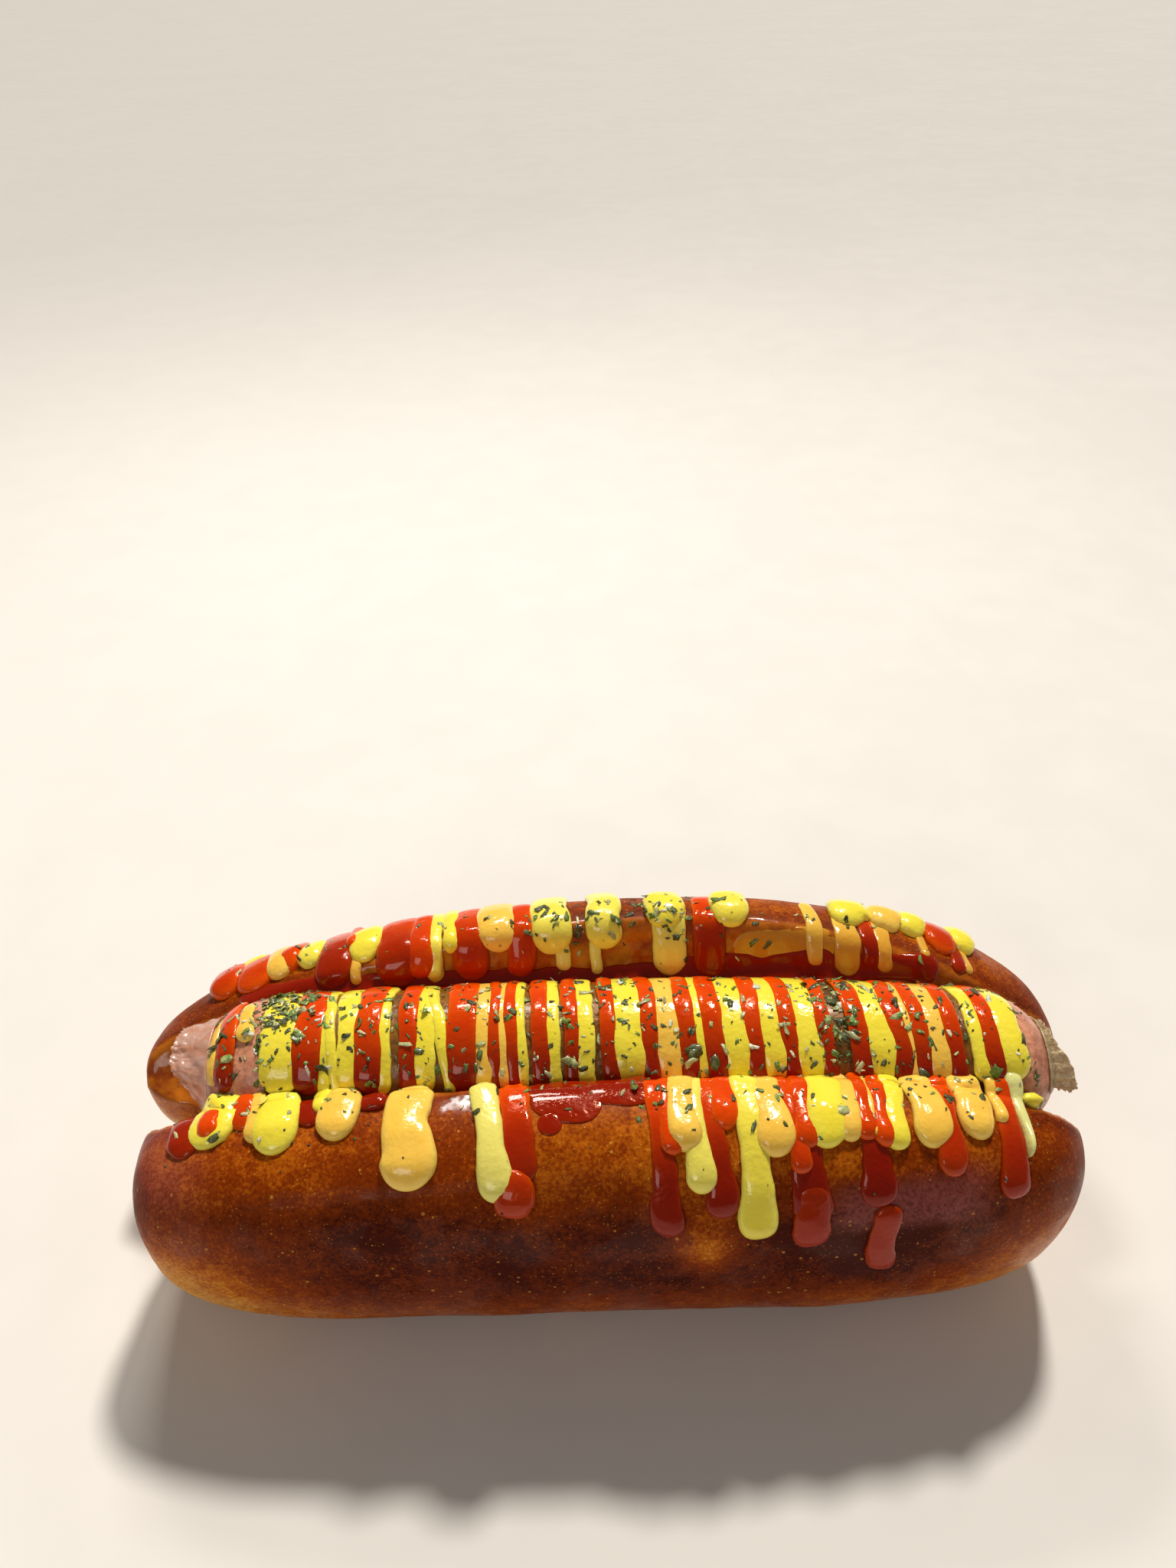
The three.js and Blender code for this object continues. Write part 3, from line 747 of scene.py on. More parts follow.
def crust_material(bun):
    """Glazed brown crust with a golden grain and pale specks, and the wet crumb of the cut faces."""
    material, tree, shader, where = start_material(
        "bun_crust", specular_ior_level=0.1, specular_tint=(1.0, 0.5, 0.25, 1.0), coat_roughness=0.1,
        subsurface_weight=0.06, subsurface_scale=0.002, subsurface_radius=(1.0, 0.35, 0.12),
    )
    # The bake carries browning, painted shade low on the sides and painted light on the paler patches.
    baked = attribute_value(tree, "bake_and_painted_light")
    crumb = attribute_value(tree, "crumb")
    dried = attribute_value(tree, "glaze_and_sheen")
    lip = attribute_value(tree, "wet")
    patches = use_group(tree, mottle_group(), Vector=where, Scale=70.0, Fine=0.4)["Mask"]
    grain = noise_value(tree, where, 1500.0, 4.0, 0.6)
    pores = use_group(tree, specks_group(), Vector=where, Scale=900.0, Share=0.35)["Mask"]
    sparks = use_group(tree, specks_group(), Vector=where, Scale=1500.0, Share=0.6)["Mask"]
    pale_specks = use_group(tree, specks_group(), Vector=where, Scale=640.0, Share=0.26)["Mask"]
    uneven = scaled(tree, patches, 0.22, -0.11)
    grainy = scaled(tree, grain, 0.84, -0.42)
    browning = math_node(tree, "SUBTRACT", math_node(tree, "ADD", baked, uneven), grainy)
    shade = ramp(
        tree, browning, ((0.0, bun.golden), (0.28, bun.amber), (0.56, bun.brown), (1.0, bun.dark))
    )
    shade = mix_colours(tree, math_node(tree, "MULTIPLY", pale_specks, 0.5), shade, bun.golden)
    shade = mix_colours(tree, math_node(tree, "MULTIPLY", sparks, 0.42), shade, bun.golden)
    shade = mix_colours(tree, math_node(tree, "MULTIPLY", pores, 0.35), shade, bun.dark)
    # Dried glaze at the corner; on the wrinkled stretch this film is painted sheen.
    glaze = math_node(tree, "MULTIPLY", dried, grey_ramp(tree, grain, 0.35, 0.6, 0.45, 0.95))
    shade = mix_colours(tree, glaze, shade, bun.glaze_and_sheen)
    holes = use_group(tree, mottle_group(), Vector=where, Scale=140.0, Fine=0.25)["Mask"]
    # The crumb is darker where the same mask sinks its torn relief.
    soft = mix_colours(tree, holes, bun.crumb_dark, bun.crumb)
    shade = mix_colours(tree, crumb, shade, soft)
    tree.links.new(shade, shader.inputs["Base Color"])
    film = use_group(tree, film_group(), Vector=where, Scale=85.0)
    rough = grey_ramp(tree, film["Wet"], 0.0, 1.0, 0.46, 0.3)
    rough = math_node(tree, "ADD", rough, math_node(tree, "MULTIPLY", grain, 0.12))
    tree.links.new(rough, shader.inputs["Roughness"])
    coat = grey_ramp(tree, film["Wet"], 0.5, 1.0, 0.02, 0.12)
    coat = math_node(tree, "MAXIMUM", coat, math_node(tree, "MULTIPLY", crumb, 0.6))
    wet_lip = math_node(tree, "MULTIPLY", lip, grey_ramp(tree, patches, 0.35, 0.75, 0.05, 0.6))
    coat = math_node(tree, "MAXIMUM", coat, wet_lip)
    tree.links.new(coat, shader.inputs["Coat Weight"])
    height = math_node(tree, "ADD", math_node(tree, "MULTIPLY", grain, 0.35), film["Height"])
    height = math_node(tree, "SUBTRACT", height, math_node(tree, "MULTIPLY", pores, 0.3))
    height = math_node(tree, "ADD", height, math_node(tree, "MULTIPLY", pale_specks, 0.3))
    torn = math_node(tree, "MULTIPLY", holes, math_node(tree, "MULTIPLY", crumb, 0.5))
    height = math_node(tree, "ADD", height, torn)
    add_bump(tree, shader, height, 0.00016)
    return material


def skin_material(sausage):
    """Fine pitted sausage skin, pink at the bare ends and brown under the sauces."""
    material, tree, shader, where = start_material(
        "sausage_skin", specular_ior_level=0.35, specular_tint=(1.0, 0.8, 0.6, 1.0),
        coat_weight=0.2, coat_roughness=0.12,
        subsurface_weight=0.12, subsurface_scale=0.003, subsurface_radius=(1.0, 0.35, 0.25),
    )
    bare = attribute_value(tree, "bare")
    patches = use_group(tree, mottle_group(), Vector=where, Scale=160.0, Fine=0.45)["Mask"]
    dots = use_group(tree, specks_group(), Vector=where, Scale=420.0, Share=0.16)["Mask"]
    pits = noise_value(tree, where, 1500.0, 3.0, 0.6)
    pink = mix_colours(tree, patches, sausage.skin_dark, sausage.skin)
    brown = mix_colours(tree, patches, darkened(sausage.glazed, 0.45), sausage.glazed)
    shade = mix_colours(tree, bare, brown, pink)
    shade = mix_colours(tree, math_node(tree, "MULTIPLY", dots, 0.5), shade, sausage.skin_dark)
    tree.links.new(shade, shader.inputs["Base Color"])
    film = use_group(tree, film_group(), Vector=where, Scale=200.0)
    tree.links.new(grey_ramp(tree, film["Wet"], 0.0, 1.0, 0.42, 0.24), shader.inputs["Roughness"])
    height = math_node(tree, "ADD", math_node(tree, "MULTIPLY", pits, 0.8), film["Height"])
    add_bump(tree, shader, height, 0.00016)
    return material


def casing_material(name, light, dark, wet, fibre_scale, cover):
    """Casing gathered in fibres that run along the sausage, dry or wet."""
    material, tree, shader, where = start_material(
        name, specular_ior_level=0.5, coat_weight=wet, coat_roughness=0.1,
        subsurface_weight=0.25, subsurface_scale=0.002, subsurface_radius=(1.0, 0.6, 0.45), alpha=cover,
    )
    stretched = add_node(tree, "ShaderNodeMapping", {"Vector": where, "Scale": (0.15, 1.0, 1.0)}).outputs[0]
    fibres = noise_value(tree, stretched, fibre_scale, 3.0, 0.6)
    patches = use_group(tree, mottle_group(), Vector=where, Scale=240.0, Fine=0.4)["Mask"]
    lit = math_node(tree, "MULTIPLY", grey_ramp(tree, fibres, 0.35, 0.65), 0.6)
    lit = math_node(tree, "ADD", lit, math_node(tree, "MULTIPLY", patches, 0.4))
    tree.links.new(mix_colours(tree, lit, dark, light), shader.inputs["Base Color"])
    tree.links.new(grey_ramp(tree, patches, 0.0, 1.0, 0.45, 0.25), shader.inputs["Roughness"])
    add_bump(tree, shader, fibres, 0.00026)
    return material


class Gloss(NamedTuple):
    """How one sauce takes the light. Its slot name is not used."""

    material: str
    slot: str
    radius: tuple
    specks: float
    sheen: tuple
    wet: float
    shine: float
    bleed: float


YELLOW_SHEEN = (1.0, 1.0, 0.9, 1.0)
GLOSSES = {
    KETCHUP: Gloss(
        "ketchup_gloss", "ketchup", (1.0, 0.18, 0.08), 0.3, (1.0, 0.45, 0.25, 1.0), 0.35, 0.14, 0.04
    ),
    MUSTARD: Gloss("mustard_gloss", "mustard", (1.0, 0.75, 0.2), 0.6, YELLOW_SHEEN, 0.4, 0.3, 0.12),
    CHEESE: Gloss("cheese_gloss", "cheese_sauce", (1.0, 0.6, 0.25), 0.6, YELLOW_SHEEN, 0.4, 0.3, 0.12),
}


def sauce_material(gloss, thin, deep, changed):
    """A thick smooth sauce with its own colour at thin edges, slow waves in its face and a little grit.

    It turns to the changed colour where it is darker or paler; for ketchup this is partly painted shade.
    """
    material, tree, shader, where = start_material(
        gloss.material, specular_ior_level=gloss.shine, specular_tint=gloss.sheen,
        coat_weight=gloss.wet, coat_roughness=0.03,
        subsurface_weight=gloss.bleed, subsurface_scale=0.0025, subsurface_radius=gloss.radius,
    )
    depth = attribute_value(tree, "depth")
    turned = attribute_value(tree, "turned")
    patches = use_group(tree, mottle_group(), Vector=where, Scale=170.0, Fine=0.25)["Mask"]
    thick = grey_ramp(tree, depth, 0.15, 0.95)
    full = math_node(tree, "MULTIPLY", thick, grey_ramp(tree, patches, 0.0, 1.0, 0.75, 1.0))
    shade = mix_colours(tree, full, thin, deep)
    shade = mix_colours(tree, turned, shade, changed)
    grit = use_group(tree, specks_group(), Vector=where, Scale=620.0, Share=0.1)["Mask"]
    shade = mix_colours(tree, math_node(tree, "MULTIPLY", grit, gloss.specks), shade, darkened(deep, 0.18))
    tree.links.new(shade, shader.inputs["Base Color"])
    film = use_group(tree, film_group(), Vector=where, Scale=190.0)
    tree.links.new(grey_ramp(tree, film["Wet"], 0.0, 1.0, 0.22, 0.12), shader.inputs["Roughness"])
    add_bump(tree, shader, film["Height"], 0.00014)
    return material


def flake_material(name, stops):
    """Dried flakes: each has its own tone, with a faint vein."""
    material, tree, shader, where = start_material(
        name, specular_ior_level=0.5, coat_weight=0.35, coat_roughness=0.12
    )
    tone = attribute_value(tree, "tone")
    patches = use_group(tree, mottle_group(), Vector=where, Scale=1100.0, Fine=0.4)["Mask"]
    uneven = scaled(tree, patches, 0.3, -0.15)
    shade = ramp(tree, math_node(tree, "ADD", tone, uneven), stops)
    tree.links.new(shade, shader.inputs["Base Color"])
    tree.links.new(grey_ramp(tree, patches, 0.0, 1.0, 0.5, 0.28), shader.inputs["Roughness"])
    add_bump(tree, shader, patches, 0.0001)
    return material


def floor_material(stage):
    """A plain pale floor with a barely seen tooth."""
    material, tree, shader, where = start_material("floor_paper", specular_ior_level=0.2)
    patches = use_group(tree, mottle_group(), Vector=where, Scale=9.0, Fine=0.5)["Mask"]
    shade = mix_colours(tree, patches, darkened(stage.floor, 0.97), stage.floor)
    tree.links.new(shade, shader.inputs["Base Color"])
    tree.links.new(grey_ramp(tree, patches, 0.0, 1.0, 0.75, 0.68), shader.inputs["Roughness"])
    return material


# The bun

FIRST_VOXEL = 1.25
BUN_SMOOTHING = 2
LOAF_RINGS = 110
LOAF_SIDES = 72
BASE_RINGS = 80
BASE_SIDES = 64
CUTTER_RINGS = 70
CUTTER_SIDES = 72

# The knob on the front: its middle, how far it stands out, and how far it and the painted light on the crust
# round it reach.
KNOB_X = 16.2
KNOB_Z = 35.4
KNOB_RISE = 1.3
KNOB_SIZE = (6.0, 7.8)
KNOB_PAINTED_LIGHT = (6.5, 6.0)

# Lumps in the crust and the crumb: height, wavelength and seed.
CRUST_LUMPS = ((0.62, 21.0, 1), (0.3, 8.5, 2), (0.1, 3.2, 3))
CRUMB_LUMPS = ((0.6, 3.4, 4), (0.5, 1.5, 5))


def join_loaves():
    """Both halves and the base, as closed bodies that run into each other."""
    bm = bmesh.new()
    for half in (FRONT_HALF, BACK_HALF):
        verts, along, turn = add_ball(bm, LOAF_RINGS, LOAF_SIDES)
        reach = np.where(along > 0, half.right.x - half.crest, half.crest - half.left.x)
        place(verts, crust_points(half, half.crest + reach * along, turn))
    verts, along, turn = add_ball(bm, BASE_RINGS, BASE_SIDES)
    place(verts, base_points(BASE_REACH * along, turn))
    bmesh.ops.recalc_face_normals(bm, faces=bm.faces[:])
    return make_object("loaves", bm)


def make_cutter(wall):
    """The body that the cut takes out of the bun."""
    bm = bmesh.new()
    verts, along, turn = add_sleeve(bm, CUTTER_RINGS, CUTTER_SIDES, True)
    place(verts, cut_points(CUT_REACH * along, turn, wall))
    bmesh.ops.recalc_face_normals(bm, faces=bm.faces[:])
    return make_object("cut", bm)


class Zones(NamedTuple):
    """How far each vertex of the bun lies from the cut, and its share in each zone."""

    cut: np.ndarray
    inside: np.ndarray
    front: np.ndarray
    wrinkled: np.ndarray


def find_zones(points, wall):
    """The torn faces of the cut, the front, and the stretch of the front where the glaze has wrinkled."""
    x, y, z = points.T
    cut = cut_gap(points, wall)
    inside = (1.0 - smoothstep(cut, 0.5, 1.5)) * smoothstep(z, 22.0, 27.0)
    front = smoothstep(-y, 18.0, 26.0)
    wrinkled = (
        smoothstep(x, 34.0, 44.0) * (1.0 - smoothstep(x, 60.0, 70.0))
        * smoothstep(z, 36.0, 40.0) * (1.0 - smoothstep(z, 43.0, 47.0)) * front
    )
    return Zones(cut, inside, front, wrinkled)


def near_knob(x, z, reach):
    """A share that is 1 at the knob's middle and falls off over a reach along X and in height."""
    return np.exp(-(((x - KNOB_X) / reach[0]) ** 2) - ((z - KNOB_Z) / reach[1]) ** 2)


def crust_rise(points, zones, settings):
    """How far the lumps, the torn crumb, the wrinkles and the knob stand out, in millimetres."""
    x, _y, z = points.T
    stretched = points * np.array([0.55, 1.0, 1.0])
    creases = -np.abs(ripple(stretched, 1.6, 6)) - 0.4 * np.abs(ripple(points, 0.9, 7))
    rise = (
        settings.lump / MM * ripples(points, CRUST_LUMPS) * (1.0 - 0.5 * zones.inside)
        + settings.crumb_depth / MM * ripples(points, CRUMB_LUMPS) * zones.inside
        + settings.wrinkle / MM * (creases + 0.5) * zones.wrinkled
        + KNOB_RISE * near_knob(x, z, KNOB_SIZE) * zones.front
    )
    return rise * smoothstep(z, 0.0, 6.0)


def note_crust(mesh, smooth, points, zones):
    """Stores how baked, torn, glazed and wet the bun is. The zones belong to the smooth points."""
    x, y, z = smooth.T
    cut, inside, front, wrinkled = zones
    ends = smoothstep(np.abs(x - 5.0), 44.0, 82.0)
    low = 1.0 - smoothstep(z, 24.0, 36.0)
    # Painted shade: a dark belt round the lower sides of the bun, weaker towards the ends.
    painted_shade_belt = smoothstep(z, 10.0, 29.0) * (1.0 - smoothstep(z, 37.0, 49.0))
    ridge = smoothstep(y, 18.0, 26.0) * smoothstep(z, 40.0, 50.0)
    rim = smoothstep(cut, 0.8, 1.8) * (1.0 - smoothstep(cut, 2.6, 5.0)) * smoothstep(z, 36.0, 42.0)
    corner = smoothstep(-x, 68.0, 82.0) * smoothstep(z, 34.0, 42.0) * smoothstep(-y, 8.0, 16.0)
    lip = smoothstep(cut, 0.6, 1.4) * (1.0 - smoothstep(cut, 5.0, 10.0)) * smoothstep(z, 43.0, 48.0)
    # The bake holds the crust's browning together with painted shade in the belt and painted light on the
    # paler lower ends and round the knob.
    bake_and_painted_light = (
        0.47
        + 0.5 * painted_shade_belt * (1.0 - 0.5 * ends)
        # Paler towards the ends and lowest there: partly the bun's paler base, partly painted light on its
        # lower edges.
        - 0.08 * ends
        - 0.36 * ends * low
        # Painted light: the crust round the knob is paler, as if lit between shadows.
        - 0.62 * near_knob(x, z, KNOB_PAINTED_LIGHT) * front
        + 0.1 * ripple(points, 26.0, 8)
        + 0.08 * ridge
        + 0.2 * rim
    )
    write_attribute(mesh, "bake_and_painted_light", np.clip(bake_and_painted_light, 0.0, 1.0))
    write_attribute(mesh, "crumb", inside)
    # Dried glaze at the front-left corner; on the wrinkled stretch it is painted sheen.
    write_attribute(mesh, "glaze_and_sheen", np.clip(0.8 * wrinkled + 0.45 * corner, 0.0, 1.0))
    write_attribute(mesh, "wet", lip)


def shape_bun(obj, settings, wall):
    """Softens the bun, raises its relief and flattens its underside."""
    bm = bmesh.new()
    bm.from_mesh(obj.data)
    for _ in range(BUN_SMOOTHING):
        bmesh.ops.smooth_vert(
            bm, verts=bm.verts[:], factor=0.5, use_axis_x=True, use_axis_y=True, use_axis_z=True
        )
    bm.normal_update()
    normals = np.array([vert.normal for vert in bm.verts])
    smooth = np.array([vert.co for vert in bm.verts]) / MM - np.array(SHIFT)
    zones = find_zones(smooth, wall)
    points = smooth + normals * crust_rise(smooth, zones, settings)[:, None]
    points[:, 2] = np.maximum(points[:, 2], 0.0)
    place(bm.verts, points)
    bm.to_mesh(obj.data)
    bm.free()
    obj.data.polygons.foreach_set("use_smooth", [True] * len(obj.data.polygons))
    note_crust(obj.data, smooth, points, zones)


class HOTDOG_OT_bun(bpy.types.Operator):
    """Bakes the bun: two halves on one base, cut open for the sausage"""

    bl_idname = "hotdog.bun"
    bl_label = "Bun"

    def execute(self, context):
        settings = context.scene.hotdog_bun
        wall = context.scene.hotdog_sausage.radius / MM + SAUSAGE_GAP
        bun = join_loaves()
        cutter = make_cutter(wall)
        fused = bun.modifiers.new("fuse", "REMESH")
        fused.mode = "VOXEL"
        fused.voxel_size = FIRST_VOXEL * MM
        cut = bun.modifiers.new("cut", "BOOLEAN")
        cut.operation = "DIFFERENCE"
        cut.solver = "MANIFOLD"
        cut.object = cutter
        even = bun.modifiers.new("even", "REMESH")
        even.mode = "VOXEL"
        even.voxel_size = settings.voxel
        settle(bun)
        bpy.data.objects.remove(cutter)
        bun.name = "bun_loaf"
        shape_bun(bun, settings, wall)
        dress(bun, crust_material(settings))
        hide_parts("bun")
        return {"FINISHED"}


# The sausage

# Where the skin turns from brown to its own pink at the left and the right, and how far it blends each way.
BARE_LEFT = -64.0
BARE_RIGHT = 75.0
BARE_BLEND = 2.0
LINK_RINGS = 300
LINK_SIDES = 96
LINK_LUMPS = ((0.16, 11.0, 11), (0.05, 3.0, 12))


def bare_share(x):
    """How bare the skin is: 1 at both ends and 0 under the sauces."""
    left = 1.0 - smoothstep(x, BARE_LEFT - BARE_BLEND, BARE_LEFT + BARE_BLEND)
    right = smoothstep(x, BARE_RIGHT - BARE_BLEND, BARE_RIGHT + BARE_BLEND)
    return np.maximum(left, right)


def make_sausage(settings):
    """The sausage: a long body with round ends that droops at both."""
    radius = settings.radius / MM
    bm = bmesh.new()
    verts, along, turn = add_ball(bm, LINK_RINGS, LINK_SIDES)
    centre = (SAUSAGE_LEFT + SAUSAGE_RIGHT) / 2.0
    x = centre + (SAUSAGE_RIGHT - SAUSAGE_LEFT) / 2.0 * along
    wide = sausage_radius(x, radius)
    lumps = ripples(sausage_points(x, wide, turn), LINK_LUMPS)
    near_end = smoothstep(np.abs(x - centre), 74.0, 82.0)
    pleats = -0.35 * near_end * np.abs(np.sin(4.5 * turn + 0.6 * np.sin(3.0 * turn)))
    wide = np.maximum(0.0, wide + (lumps + pleats) * wide / radius)
    place(verts, sausage_points(x, wide, turn))
    bmesh.ops.remove_doubles(bm, verts=bm.verts[:], dist=1e-7)
    obj = make_object("sausage_link", bm)
    write_attribute(obj.data, "bare", bare_share(design_points(obj.data)[:, 0]))
    return obj


class Frill(NamedTuple):
    """Casing gathered at one end of the sausage, with its turns in degrees.

    It is torn away between two turns, and it is shortest at one turn and full length at another.
    """

    name: str
    start: float
    end: float
    root: float
    mouth: float
    pleats: int
    drop: float
    ragged: float
    crumple: float
    torn_from: float
    torn_to: float
    short_at: float
    long_at: float


SHORT_FRILL = 0.4
FRILL_RINGS = 30
FRILL_SIDES = 240
FRILL_GAP = 0.25
FRAYING = ((1.0, 0.3, 21), (0.6, 0.05, 22))
FRILLS = (
    Frill("casing_right", 82.6, 87.6, 6.6, 8.4, 23, -0.4, 0.7, 0.5, 166.0, 320.0, 85.0, 150.0),
    Frill("casing_left", -75.4, -83.4, 10.6, 7.4, 9, -1.4, 0.9, 1.1, 205.0, 320.0, 190.0, 115.0),
)


def make_frill(frill, settings):
    """A gathered skirt of casing that lies on the sausage's cap and ends in a ragged edge."""
    bm = bmesh.new()
    verts, along, turn = add_sleeve(bm, FRILL_RINGS, FRILL_SIDES, False)
    share = (1.0 + along) / 2.0
    circle = np.stack([np.cos(turn), np.sin(turn), np.zeros_like(turn)], axis=1)
    frayed = ripples(circle, FRAYING)
    degrees = np.degrees(turn) % 360.0
    reach = SHORT_FRILL + (1.0 - SHORT_FRILL) * smoothstep(degrees, frill.short_at, frill.long_at)
    x = frill.start + (frill.end - frill.start) * share * reach
    on_cap = sausage_radius(x, settings.radius / MM) + FRILL_GAP
    x = x + np.sign(frill.end - frill.start) * frill.ragged * frayed * share**2
    wave = np.sin(frill.pleats * turn + 1.1 * np.sin(2.0 * turn)) * (0.03 + 0.1 * share)
    rounded = np.stack([x, 9.0 * np.cos(turn), 9.0 * np.sin(turn)], axis=1)
    folds = 0.7 * ripple(rounded, 2.0, 23) - 0.5 * np.abs(ripple(rounded, 1.1, 24))
    crumple = frill.crumple * (0.25 + share) * folds
    wide = np.maximum(on_cap, frill.root + (frill.mouth - frill.root) * share) + wave + crumple
    points = sausage_points(x, wide, turn)
    points[:, 2] -= frill.drop * share**2
    place(verts, points)
    edge = 6.0 * ripple(np.stack([share, share, share], axis=1), 0.12, 25)
    torn = (degrees > frill.torn_from + edge) & (degrees < frill.torn_to + edge)
    bmesh.ops.delete(bm, geom=[vert for vert, gone in zip(verts, torn) if gone], context="VERTS")
    return make_sheet(frill.name, bm, settings.casing_thickness)


class HOTDOG_OT_sausage(bpy.types.Operator):
    """Makes the sausage that lies in the cut"""

    bl_idname = "hotdog.sausage"
    bl_label = "Sausage"

    def execute(self, context):
        settings = context.scene.hotdog_sausage
        sausage = make_sausage(settings)
        dress(sausage, skin_material(settings))
        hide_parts("sausage")
        return {"FINISHED"}


class HOTDOG_OT_casing(bpy.types.Operator):
    """Gathers the casing at both ends of the sausage"""

    bl_idname = "hotdog.casing"
    bl_label = "Casing ends"

    def execute(self, context):
        settings = context.scene.hotdog_sausage
        finishes = (
            casing_material("casing_dry", settings.casing, settings.casing_dark, 0.2, 2200.0, 0.94),
            casing_material("casing_wet", settings.casing_wet, settings.skin, 1.0, 420.0, 0.5),
        )
        for frill, finish in zip(FRILLS, finishes):
            dress(make_frill(frill, settings), finish)
        return {"FINISHED"}


# The sauces

# A bed is cast each millimetre, as far as BED_REACH along X each way, by rays that start BED_FAR from its
# line.
BED_REACH = 100
BED_FAR = 90.0
BED_SMOOTHING = 2
FRONT_CENTRE = (0.0, 25.0)
BACK_CENTRE = (30.0, 20.0)
LINK_CENTRE = (0.0, SAUSAGE_HEIGHT)
NORMAL_STEP = 0.8
NORMAL_TURN = 0.026

# A ribbon of sauce has a ring each RIBBON_STEP. Its width is turned as if the bed lay at least LEAST_REACH
# out.
RIBBON_STEP = 0.6
LEAST_RINGS = 16
MOST_RINGS = 88
RIBBON_SIDES = 18
LINE_STEPS = 60
EDGE_WIDTH = 4.0
LEAST_REACH = 15.0

# Mustard and cheese sauce that end CLOSE_BY a ketchup stripe reach UNDERLAP under it.
CLOSE_BY = 0.9
UNDERLAP = 0.9

# Where stripes, legs and runs start and end, as turns in degrees, and how far a long run stops short.
STRIPE_START = 26.0
STRIPE_END = 160.0
LEG_START = 60.0
RUN_START = 116.0
BACK_START = 88.0
SAG = 4.0

# How far pools have turned to the sauce's changed colour.
POOL_TONES = {KETCHUP: 0.9, CHEESE: 0.95}

# The first seeds of the noise in each kind of ribbon.
SHORT_SEED = 60
LEG_SEED = 70
FRONT_SEED = 100
PALE_SEED = 140
BACK_SEED = 200
POOL_SEED = 300
BLOB_LINE_SEED = 330
BLOB_SEED = 340


def widest(values, steps, pick):
    """The largest or smallest neighbour along the turns."""
    padded = np.pad(values, ((0, 0), (steps, steps)), mode="edge")
    return pick([padded[:, start : start + values.shape[1]] for start in range(2 * steps + 1)], axis=0)


class Bed:
    """The outer face that carries sauce, held as its distance from a line along X at each turn about it.

    Narrow creases are filled, because sauce bridges them.
    """

    def __init__(self, trees, centre, first, last, fill):
        self.centre = centre
        self.first = math.radians(first)
        self.last = math.radians(last)
        turns = np.radians(np.arange(first, last + 0.5, 1.0))
        reach = np.full((2 * BED_REACH + 1, len(turns)), np.nan)
        for row in range(len(reach)):
            for column, turn in enumerate(turns):
                reach[row, column] = self.cast(trees, row - BED_REACH, turn)
        for column in reach.T:
            known = np.flatnonzero(~np.isnan(column))
            column[:] = np.interp(np.arange(len(column)), known, column[known])
        reach = widest(widest(reach, fill, np.max), fill, np.min)
        for _ in range(BED_SMOOTHING):
            wide = np.pad(reach, 1, mode="edge")
            reach = (
                4.0 * wide[1:-1, 1:-1] + wide[:-2, 1:-1] + wide[2:, 1:-1] + wide[1:-1, :-2] + wide[1:-1, 2:]
            ) / 8.0
        self.reach = reach

    def cast(self, trees, x, turn):
        """How far out the first face lies that a ray meets on its way in."""
        out = Vector((0.0, math.cos(turn), math.sin(turn)))
        line = Vector((x, self.centre[0], self.centre[1]))
        start = (line + BED_FAR * out + SHIFT) * MM
        hits = [tree.ray_cast(start, -out, BED_FAR * MM)[3] for tree in trees]
        hits = [hit for hit in hits if hit is not None]
        return BED_FAR - min(hits) / MM if hits else float("nan")

    def distance(self, x, turn):
        """The distance out from the line, between the cast places."""
        row = np.clip(x + BED_REACH, 0, 2 * BED_REACH - 1e-6)
        column = np.clip(np.degrees(turn - self.first), 0, self.reach.shape[1] - 1 - 1e-6)
        low_row = row.astype(int)
        low_column = column.astype(int)
        down = row - low_row
        right = column - low_column
        reach = self.reach
        top = reach[low_row, low_column] * (1 - right) + reach[low_row, low_column + 1] * right
        low = reach[low_row + 1, low_column] * (1 - right) + reach[low_row + 1, low_column + 1] * right
        return top * (1 - down) + low * down

    def points(self, x, turn):
        """Points on the face, in millimetres."""
        out = self.distance(x, turn)
        y = self.centre[0] + out * np.cos(turn)
        z = self.centre[1] + out * np.sin(turn)
        return np.stack([x, y, z], axis=1)

    def normals(self, x, turn):
        """Directions that point out of the face."""
        ahead = self.points(x + NORMAL_STEP, turn) - self.points(x - NORMAL_STEP, turn)
        round_it = self.points(x, turn + NORMAL_TURN) - self.points(x, turn - NORMAL_TURN)
        normal = np.cross(ahead, round_it)
        normal /= np.linalg.norm(normal, axis=1)[:, None]
        outward = np.stack([np.zeros_like(turn), np.cos(turn), np.sin(turn)], axis=1)
        flip = np.sign(np.sum(normal * outward, axis=1))
        return normal * flip[:, None]


class Sauce(NamedTuple):
    """The mesh that a sauce is poured into, and the layers for its depth and its change of colour."""

    bm: bmesh.types.BMesh
    depth: object
    turned: object


def new_sauce():
    """An empty mesh for sauce."""
    bm = bmesh.new()
    return Sauce(bm, bm.verts.layers.float.new("depth"), bm.verts.layers.float.new("turned"))


def wander(share, length, wave, seed):
    """Slow noise along a stripe."""
    return np.array([noise.noise(Vector((part * length / wave, seed * 3.7, seed * 1.9))) for part in share])


def along_line(bed, line, gone, share):
    """The directions along a line on its bed, at shares of its length."""
    line_x, line_turn = line
    length = gone[-1]
    before = np.clip(share * length - RIBBON_STEP, 0.0, length)
    after = np.clip(share * length + RIBBON_STEP, 0.0, length)
    ahead = bed.points(np.interp(after, gone, line_x), np.interp(after, gone, line_turn))
    behind = bed.points(np.interp(before, gone, line_x), np.interp(before, gone, line_turn))
    heading = ahead - behind
    return heading / np.linalg.norm(heading, axis=1)[:, None]


def round_end(from_end, cap):
    """The share of the full width at a distance from a round end."""
    return np.sqrt(np.clip(1.0 - (1.0 - np.minimum(1.0, from_end / cap)) ** 2, 0.0, 1.0))


